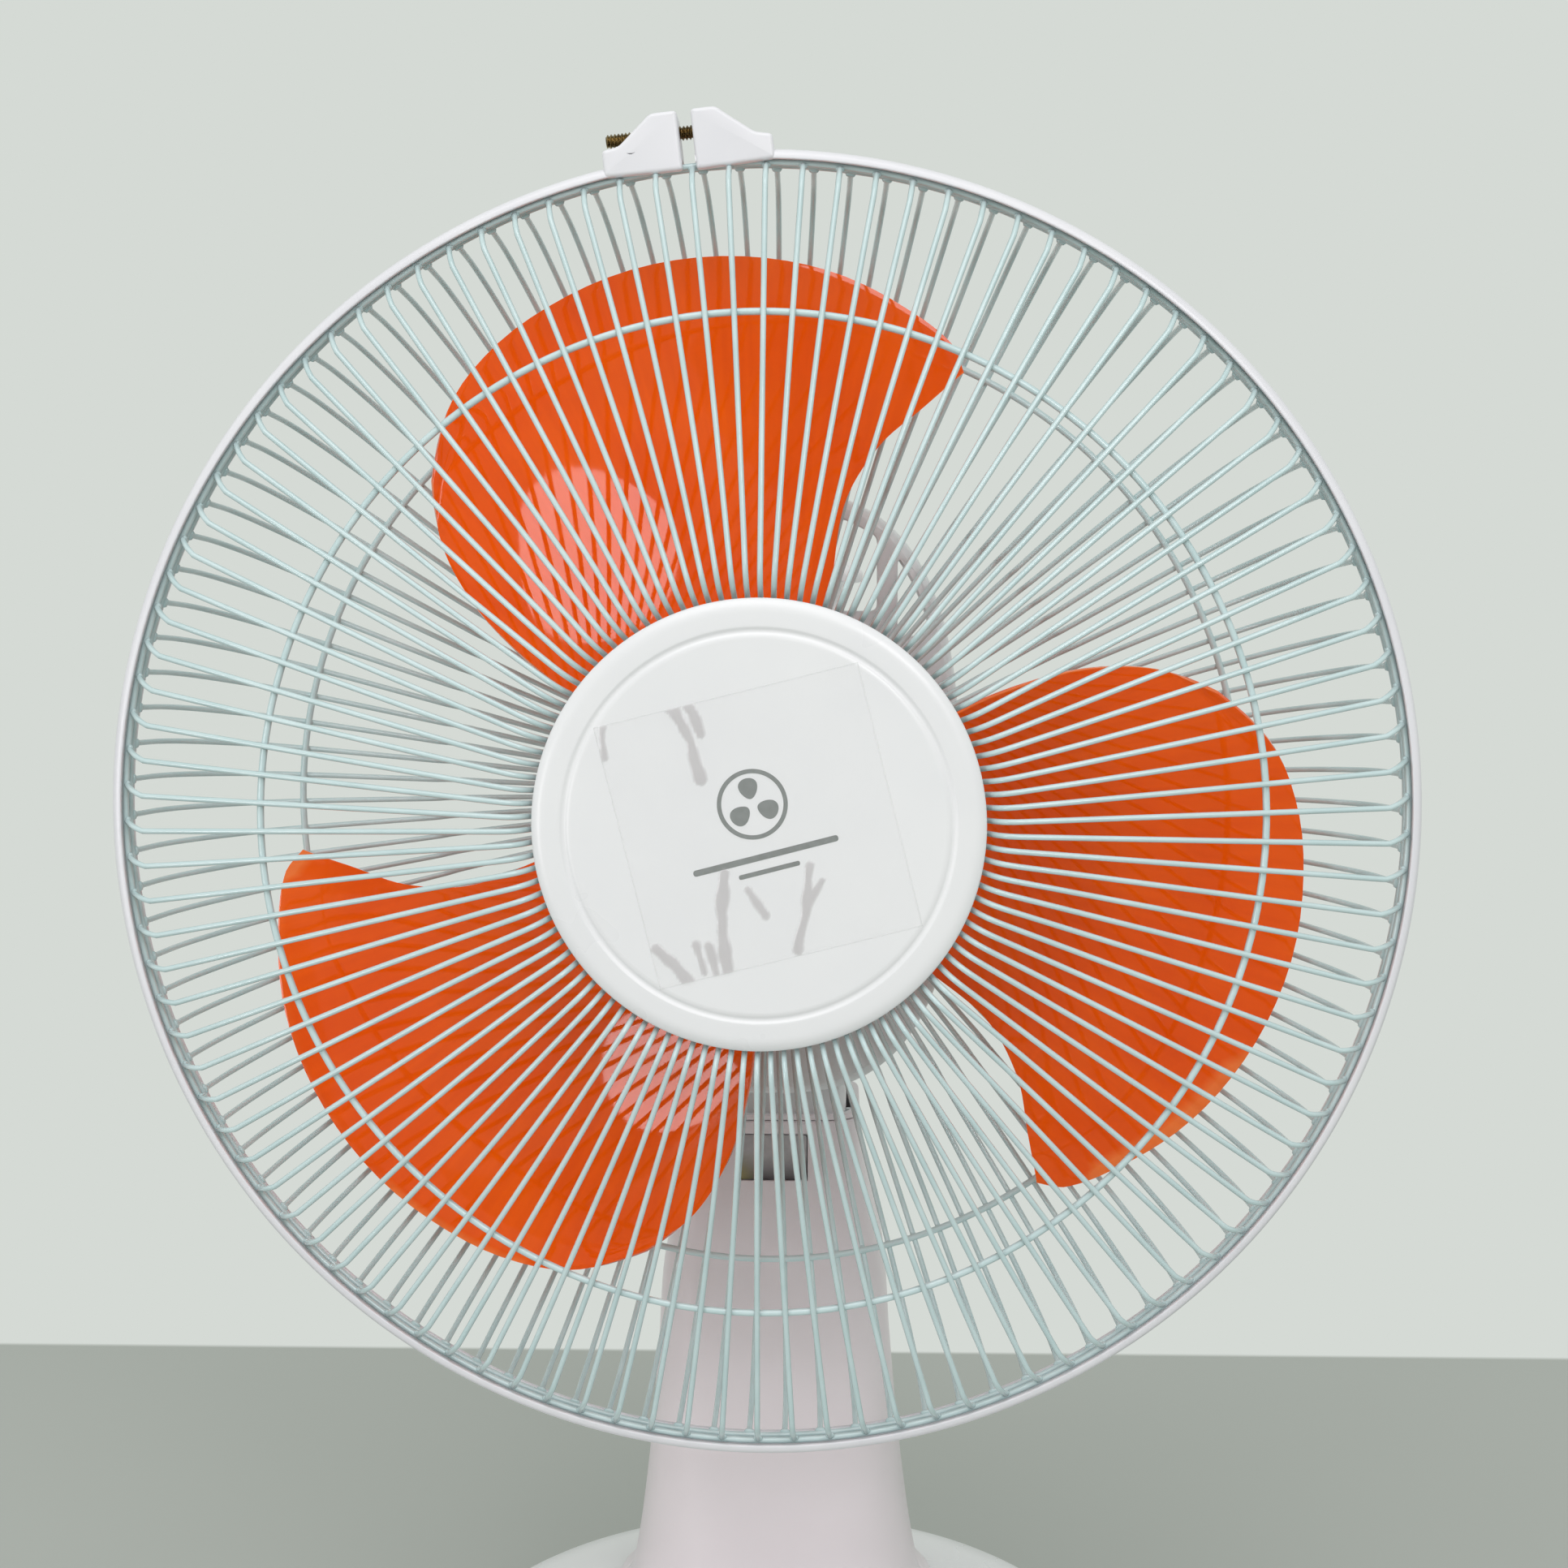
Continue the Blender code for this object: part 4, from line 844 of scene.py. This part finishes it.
def makeShield():
    shape = newShape()
    width, height, power = shield["halfWidth"], shield["halfHeight"], shield["power"]
    # the skirt rounds the front corner, runs back, turns in at the back edge and comes forward inside
    rows = [[place3((x, -z, depth), spinPoint, alongHead)
             for x, z in oval(width - inset, height - inset, power, 180)] for inset, depth in shield["skirt"]]
    addStrip(shape, rows, True, True)
    bore = [outward(a) * shield["bore"] for a in range(0, 360, 4)]
    sideWindow = soften(shield["sideWindow"], cut=2.2)
    outlines = [oval(width - 2.2, height - 2.2, power, 180), [(p.x, p.z) for p in bore],
                soften(shield["handle"], cut=2.2), sideWindow, [(-x, z) for x, z in reversed(sideWindow)]]
    low, high = shield["ventReach"]
    for middle in shield["ventAngles"]:
        turns = [shield["ventSpan"] * (k / 6 - 0.5) for k in range(7)]
        fan = [outward(middle + a) * high for a in turns] + [outward(middle - a) * low for a in turns]
        outlines.append([(p.x, p.z) for p in fan])
    flipped = [[(x, -z) for x, z in outline] for outline in outlines]
    addPlate(shape, flipped, shield["frontWall"], onAxis(shield["frontMiddle"]), alongHead, 0.4)
    # stiffening ribs behind the front wall; the inner pair stays below, since a hand goes in above
    for x, start, ways in shield["ribs"]:
        reach = height * (1 - (abs(x) / width) ** power) ** (1 / power) - 3.0
        for way in ways:
            rows = [[spinPoint + Vector((x + b, t, way * z)) * mm
                     for b, t in ((-0.7, 61.4), (0.7, 61.4), (0.6, 69.0), (-0.6, 69.0))] for z in (start, reach)]
            addStrip(shape, rows, False, True, caps=True)
    piece = toObject("motorShield", shape)
    finishPiece(piece, "mouldedWhiteAbs", "head", ["motor_front_cover"], 40)
    print("shield made")


rearCover = {"profile": [(0.0, 170.0, 0), (31.0, 169.3, 4), (45.5, 164.5, 5), (52.4, 151.5, 8), (54.0, 121.5, 0.5),
                         (53.4, 120.8, 0.3), (53.4, 119.8, 0.3), (54.0, 119.2, 0.5), (54.0, 76.4, 0.5),
                         (51.9, 76.4, 0.5), (51.9, 120.0, 4), (49.9, 151.0, 6), (43.5, 162.0, 4),
                         (31.0, 166.7, 3), (0.0, 167.5, 0)],
             "slots": 5, "slotPitch": 10.0, "slotSize": (40.0, 3.0, 1.45),
             "knobHole": 4.9, "crankHole": 4.6, "swivelHole": 12.7,
             "knob": [(0.0, 69.9, 0), (7.5, 69.4, 2.5), (11.5, 66.0, 1.6), (10.8, 62.8, 0.6), (4.2, 61.4, 1.2),
                      (4.0, 25.2, 0.4), (0.0, 25.0, 0)],
             "nut": [(33.0, 55.6, 0.5), (33.0, 50.2, 0.8), (31.0, 49.1, 0.6), (20.5, 49.1, 0.5),
                     (20.5, 55.6, 0.5)]}


def makeRearCover():
    shape = newShape()
    addTurned(shape, soften(rearCover["profile"]), spinPoint, alongHead, 160)
    piece = toObject("motorRearCover", shape)
    up = Vector((0, 0, mm))
    tools = [rodShape(rearCover["knobHole"] * mm, wheelPoint + up * 30, wheelPoint + up * 70),
             rodShape(rearCover["crankHole"] * mm, crankPoint - up * 30, crankPoint - up * 70),
             rodShape(rearCover["swivelHole"] * mm, swivelPoint + up * 10, swivelPoint + up * 50)]
    half = (rearCover["slots"] - 1) / 2
    wide, tall, corner = rearCover["slotSize"]
    for k in range(rearCover["slots"]):
        tool = newShape()
        line = roundedRect(wide, tall, corner, 5, (0.0, (k - half) * rearCover["slotPitch"]))
        addPlate(tool, [line], 20.0, onAxis(168), alongHead, 0.05)
        tools.append(tool)
    cutWith(piece, tools)
    finishPiece(piece, "mouldedWhiteAbs", "head", ["motor_rear_cover"])

    knob = newShape()
    addTurned(knob, soften(rearCover["knob"]), wheelPoint, upright, 128, grip=(16, 0.9, 8.2))
    finishPiece(toObject("oscillationKnob", knob), "mouldedWhiteAbs", "knob", ["oscillation_knob"])

    nut = newShape()
    addTurned(nut, soften(rearCover["nut"]), spinPoint, alongHead, 240, grip=(20, 1.2, 31.0))
    finishPiece(toObject("guardNut", nut), "mouldedWhiteAbs", "head", ["guard_nut"])
    print("rear cover made")


column = {"widths": [(41, 52), (44.5, 48.5), (50, 45.3), (85, 40), (124, 36.4), (150, 34.6), (168, 31.2), (188, 27.4),
                     (198, 26.6)],
          "depths": [(41, 44), (44.5, 41), (50, 38.5), (85, 33.5), (124, 30), (150, 28.4), (168, 27.2), (188, 26.2),
                     (198, 26.0)],
          "foot": 42.3, "top": 198.6, "wall": 2.3, "seam": 0.15, "levels": 44, "pinHole": 2.9, "labelGap": 0.3,
          "collar": {"low": 198.9, "high": 200.7, "outer": (26.5, 25.9), "inner": (24.3, 23.7), "power": 6.0},
          "barrel": [(0.0, -22.4, 0), (12, -22.4, 0.8), (13, -21.6, 0.5), (18.0, -21.6, 0.6), (19.0, -22.4, 0.8),
                     (21.4, -20.0, 1.2), (21.4, 20.0, 1.2), (19.0, 22.4, 0.8), (18.0, 21.6, 0.6), (13, 21.6, 0.5),
                     (12, 22.4, 0.8), (0.0, 22.4, 0)]}


def columnOutline(height, inset=0.0, count=144):
    power = 2.6 + 3.4 * min(1.0, max(0.0, (height - 60) / 120))
    return oval(smoothValue(column["widths"], height) - inset, smoothValue(column["depths"], height) - inset, power,
                count)


def makeColumn():
    foot, top = column["foot"], column["top"]
    for way, name, node in ((-1, "columnFront", "column_front"), (1, "columnBack", "column_back")):
        shape = newShape()
        outer, inner = [], []
        for k in range(column["levels"] + 1):
            u = k / column["levels"]
            height = foot + (top - foot) * u ** 1.35
            for line, inset in ((outer, 0.0), (inner, column["wall"])):
                line.append([columnFoot + Vector((x, y, height)) * mm for x, y in columnOutline(height, inset)])
        lip = [columnFoot + Vector((x, y, top)) * mm for x, y in columnOutline(top, 0.4)]
        outer[-1] = [p - Vector((0, 0, 0.4 * mm)) for p in outer[-1]]
        addStrip(shape, outer + [lip] + inner[::-1], True, True)
        piece = toObject(name, shape)
        keep = blockShape((-0.2, columnFoot.y + (way * column["seam"] * mm if way > 0 else -0.1), 0.0),
                          (0.2, columnFoot.y + (0.1 if way > 0 else -column["seam"] * mm), 0.3))
        cutWith(piece, [keep], "INTERSECT")
        tools = [rodShape(column["pinHole"] * mm, tiltPoint - Vector((0.05, 0, 0)), tiltPoint + Vector((0.05, 0, 0)))]
        if way < 0:
            low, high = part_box("column_label")
            grow = column["labelGap"] * mm
            tools.append(blockShape((low.x - grow, low.y - 1.6 * mm, low.z - grow),
                                    (high.x + grow, high.y + 3 * mm, high.z + grow)))
        cutWith(piece, tools)
        roundEdges(piece, 0.25, 60)
        finishPiece(piece, "mouldedColumnAbs", "base", [node])
    collar = column["collar"]
    ring = newShape()
    outlines = [oval(*collar[line], collar["power"]) for line in ("outer", "inner")]
    middle = columnFoot + Vector((0, 0, (collar["low"] + collar["high"]) / 2 * mm))
    addPlate(ring, outlines, collar["high"] - collar["low"], middle, upright, 0.4)
    finishPiece(toObject("columnCollar", ring), "mouldedColumnAbs", "base", ["column_collar"])

    # Printed paper label: pale grey that darkens to its lower edge, with a worn yellow corner
    low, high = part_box("column_label")
    sticker = newShape()
    size = ((high.x - low.x) / mm, (high.z - low.z) / mm)
    addPlate(sticker, [roundedRect(size[0], size[1], 0.8)], (high.y - low.y) / mm,
             (low + high) / 2, alongHead, 0.1)
    look = {"dark": "A5A3A6", "light": "B4B2B4", "patch": 3, "edge": "C0BEC0", "edgeShare": 0.3,
            "rough": 0.4, "drift": 0.08, "grain": 0.4, "relief": 0.2, "depth": 0.02}
    made = makeFinish("printedPaperLabel", look, IOR=1.45)
    tree = made["tree"]
    parts = addNode(tree, "ShaderNodeSeparateXYZ", None, {0: made["place"]})
    # each falls from its first value to none over a stretch of the label's height or width
    falls = []
    for axis, start, end, most in (("Z", low.z, low.z + 7.5 * mm, 1.0), ("X", low.x + mm, low.x + 6 * mm, 0.8),
                                   ("Z", low.z + 2 * mm, low.z + 9 * mm, 1.0)):
        fall = {"From Min": start, "From Max": end, "To Min": most, "To Max": 0.0}
        falls.append(addNode(tree, "ShaderNodeMapRange", fall, {"Value": parts.outputs[axis]}).outputs["Result"])
    corner = addNode(tree, "ShaderNodeMath", {"operation": "MULTIPLY"}, {0: falls[1], 1: falls[2]}).outputs[0]
    sunk = addNode(tree, "ShaderNodeMix", {"data_type": "RGBA", 7: "4B4448"}, {0: falls[0], 6: made["colour"]})
    worn = addNode(tree, "ShaderNodeMix", {"data_type": "RGBA", 7: "9A9460"}, {0: corner, 6: sunk.outputs[2]})
    tree.links.new(worn.outputs[2], made["shader"].inputs["Base Color"])
    finishes["printedPaperLabel"] = made
    finishPiece(toObject("columnLabel", sticker), "printedPaperLabel", "base", ["column_label"])

    barrel = newShape()
    addTurned(barrel, soften(column["barrel"], closed=False), tiltPoint, alongX, 120)
    piece = toObject("neckBarrel", barrel)
    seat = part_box("neck_barrel")[1].z
    tools = [blockShape((-0.04, tiltPoint.y - 0.015, seat), (0.04, tiltPoint.y + 0.015, seat + 0.01)),
             rodShape(column["pinHole"] * mm, tiltPoint - Vector((0.03, 0, 0)), tiltPoint + Vector((0.03, 0, 0)))]
    cutWith(piece, tools)
    finishPiece(piece, "mouldedWhiteAbs", "neck", ["neck_barrel"])
    print("column made")


base = {"shell": [(0.0, 42.0, 0), (55, 42.0, 6), (82, 37.8, 10), (103, 29, 8), (112.7, 15.6, 6), (115.0, 3.0, 0.6),
                  (112.6, 3.0, 0.5), (110.2, 15.0, 6), (101.4, 26.8, 8), (81.4, 35.4, 8), (56, 39.5, 5),
                  (0.0, 39.5, 0)],
        "keyPitch": 20.0, "bezelCorner": 2.6, "bezelGap": 0.25, "keyHole": (17.9, 15.9, 1.6),
        "inletHeight": 17.0, "inletHole": 7.2,
        "foot": [(0.0, 4.2, 0), (10, 4.2, 0.3), (10, 0.9, 0.7), (8.8, 0.0, 0.5), (7.6, 0.0, 0.2), (7.0, 0.5, 0.2),
                 (0.0, 0.5, 0)]}


def makeBase():
    shape = newShape()
    addTurned(shape, soften(base["shell"], steps=6), floorPoint, upright, 200)
    piece = toObject("baseShell", shape)
    low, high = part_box("button_bezel")
    width, depth, corner = (high.x - low.x) / mm, (high.y - low.y) / mm, base["bezelCorner"]
    gap = base["bezelGap"]
    hole = newShape()
    middle = Vector(((low.x + high.x) / 2, (low.y + high.y) / 2, 0.036))
    addPlate(hole, [roundedRect(width + gap, depth + gap, corner)], 30.0, middle, upright, 0.05)
    inlet = Vector((0.0, 0.1, base["inletHeight"] * mm))
    cutWith(piece, [hole, rodShape(base["inletHole"] * mm, inlet, inlet + Vector((0, 0.03, 0)))])
    finishPiece(piece, "mouldedWhiteAbs", "base", ["base_shell"])

    bezel = newShape()
    outlines = [roundedRect(width, depth, corner)]
    for k in range(4):
        outlines.append(roundedRect(*base["keyHole"], middle=(base["keyPitch"] * (k - 1.5), 0.0)))
    addPlate(bezel, outlines, (high.z - low.z) / mm, (low + high) / 2, upright, 0.6)
    finishPiece(toObject("buttonBezel", bezel), "mouldedWhiteAbs", "base", ["button_bezel"])

    feet = newShape()
    names = ("rubber_foot_front_left", "rubber_foot_front_right", "rubber_foot_rear_left", "rubber_foot_rear_right")
    for name in names:
        low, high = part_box(name)
        addTurned(feet, soften(base["foot"]), Vector(((low.x + high.x) / 2, (low.y + high.y) / 2, 0.0)), upright, 56)
    finishPiece(toObject("rubberFeet", feet), "mouldedRubber", "base", names)
    print("base made")


keys = {  # (inset, height above or below the key's top) of the shoulders and the shallow dish for the fingertip
        "crown": [(0.0, -2.2), (0.25, -1.0), (0.8, -0.3), (1.6, 0.0), (2.6, -0.1), (4.2, -0.45), (5.8, -0.7)],
        "sidePower": 7.0, "dishPower": 5.0, "ring": (1.7, 1.2), "bar": (0.7, 3.0, 0.3), "barPitch": 1.5,
        "inkThickness": 0.1}


def makeKeys():
    for k, label in enumerate(("off", "low", "medium", "high")):
        low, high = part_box("button_" + label)
        middle = (low + high) / 2
        wide, deep = (high.x - low.x) / mm / 2, (high.y - low.y) / mm / 2
        bottom, top = low.z / mm, high.z / mm
        shape = newShape()
        rows = []
        for inset, height in [(0.6, bottom), (0.0, bottom + 0.6)] + [(i, top + h) for i, h in keys["crown"]]:
            power = keys["sidePower"] if inset < 2 else keys["dishPower"]
            rows.append([Vector((middle.x, middle.y, height * mm)) + Vector((x, y, 0)) * mm
                         for x, y in oval(wide - inset, deep - inset, power, 72)])
        addStrip(shape, rows, False, True, caps=True)
        finishPiece(toObject("key_" + label, shape), "mouldedColumnAbs", "key_" + label,
                    ["button_" + label])
        # generic marks: a ring for off, then one, two and three bars
        mark = newShape()
        spot = Vector((middle.x, middle.y, (top - 0.68) * mm))
        ink = keys["inkThickness"]
        if k == 0:
            outer, inner = keys["ring"]
            addTurned(mark, [(outer, -ink / 2), (outer, ink / 2), (inner, ink / 2), (inner, -ink / 2)],
                      spot, upright, 36)
        for bar in range(k):
            line = roundedRect(*keys["bar"], 3, (keys["barPitch"] * (bar - (k - 1) / 2), 0.0))
            addPrism(mark, line, ink, spot, upright)
        finishPiece(toObject("keyMark_" + label, mark), "padPrintedInk", "key_" + label)
    print("keys made")


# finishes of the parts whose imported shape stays
carriedOver = {
    "zincPlatedSteel": ["badge_screw_left", "badge_screw_right", "base_screw_left", "base_screw_right", "clamp_nut",
                        "column_tube", "drive_pin", "front_bracket", "link_anchor_pin", "link_arm", "motor_shaft",
                        "rear_bracket", "swivel_pin", "swivel_yoke", "tilt_pin"],
    "mouldedDarkAbs": ["base_plate", "cord_inlet", "start_capacitor", "switch_body"],
    "sinteredBronze": ["front_bush", "rear_bush"],
    "laminatedIron": ["rotor_core", "stator_core"],
    "enamelledCopper": ["front_winding", "rear_winding"],
    "naturalAcetal": ["crank_gear", "gearbox_housing", "worm", "worm_wheel"]}


def finishCarriedOver():
    for finishName, names in carriedOver.items():
        for name in names:
            for slotHere in frame["nodes"][name].material_slots:
                slotHere.material = finishes[finishName]["material"]
    print("carried-over parts finished")


studio = {"backdrop": "D5DAD5", "lightTint": (1.0, 0.95, 0.985),
          "table": "A9ADA8", "tableLight": "B1B5B0", "tablePatch": 400, "tableEnd": 0.36, "lens": 51.43,
          "eye": (22.5, -677.7, 359.1), "down": 4.87, "left": 1.62,
          "lights": [("keySoftbox", (0.55, -1.45, 0.92), (0.0, -0.08, 0.35), (0.56, 0.46), 4.3),
                     ("leftSoftbox", (-1.06, -1.30, 0.22), (0.0, -0.08, 0.25), (0.36, 0.5), 3.6),
                     ("topSoftbox", (-0.1, -1.25, 1.75), (0.0, -0.05, 0.25), (1.7, 1.2), 13.0)]}


def makeStudio():
    scene = bpy.context.scene
    scene.view_settings.view_transform = "Standard"
    world = bpy.data.worlds.new("studioAir")
    scene.world = world
    world.use_nodes = True
    background = world.node_tree.nodes["Background"]
    background.inputs["Color"].default_value = toLinear(studio["backdrop"])
    background.inputs["Strength"].default_value = 1.0

    mesh = bpy.data.meshes.new("floor")
    far = 40.0      # the floor runs this many metres each way, so its edge never shows
    mesh.from_pydata([(-far, -far, 0), (far, -far, 0), (far, far, 0), (-far, far, 0)], [], [(0, 1, 2, 3)])
    ground = bpy.data.objects.new("floor", mesh)
    scene.collection.objects.link(ground)
    # Matt laminate under the fan, which gives way to the same pale air as the backdrop behind it
    material = bpy.data.materials.new("paleLaminate")
    material.use_nodes = True
    tree = material.node_tree
    shader = tree.nodes["Principled BSDF"]
    place = addNode(tree, "ShaderNodeTexCoord").outputs["Object"]
    cloud = addNode(tree, "ShaderNodeTexNoise", {"Scale": 1 / (studio["tablePatch"] * mm), "Detail": 2.0},
                    {"Vector": place}).outputs["Fac"]
    tone = addNode(tree, "ShaderNodeMix", {"data_type": "RGBA", 6: studio["table"], 7: studio["tableLight"]},
                   {0: cloud})
    tree.links.new(tone.outputs[2], shader.inputs["Base Color"])
    shader.inputs["Roughness"].default_value = 0.55
    glow = addNode(tree, "ShaderNodeEmission", {"Color": toLinear(studio["backdrop"]), "Strength": 1.0})
    parts = addNode(tree, "ShaderNodeSeparateXYZ", None, {0: place})
    ends = {"From Min": studio["tableEnd"] - 2 * mm, "From Max": studio["tableEnd"] + 2 * mm}
    behind = addNode(tree, "ShaderNodeMapRange", ends, {"Value": parts.outputs["Y"]}).outputs["Result"]
    both = addNode(tree, "ShaderNodeMixShader", None, {0: behind, 1: shader.outputs[0], 2: glow.outputs[0]})
    tree.links.new(both.outputs[0], tree.nodes["Material Output"].inputs["Surface"])
    mesh.materials.append(material)

    for name, at, aim, size, power in studio["lights"]:
        lamp = bpy.data.lights.new(name, "AREA")
        lamp.shape = "ELLIPSE"
        lamp.size, lamp.size_y = size
        lamp.energy = power
        lamp.color = studio["lightTint"]
        light = bpy.data.objects.new(name, lamp)
        light.location = at
        light.rotation_euler = (Vector(aim) - Vector(at)).to_track_quat("-Z", "Y").to_euler()
        light.visible_camera = False
        scene.collection.objects.link(light)

    lens = bpy.data.cameras.new("camera")
    lens.lens = studio["lens"]
    lens.sensor_width = 36.0
    camera = bpy.data.objects.new("camera", lens)
    camera.location = Vector(studio["eye"]) * mm
    camera.rotation_euler = (math.radians(90 - studio["down"]), 0.0, math.radians(studio["left"]))
    scene.collection.objects.link(camera)
    scene.camera = camera
    print("studio set")


makeStudio()
makeGuards()
makeBadge()
makeFilm()
makeHoop()
makeClampScrew()
makeBlade()
makeShield()
makeRearCover()
makeColumn()
makeBase()
makeKeys()
finishCarriedOver()
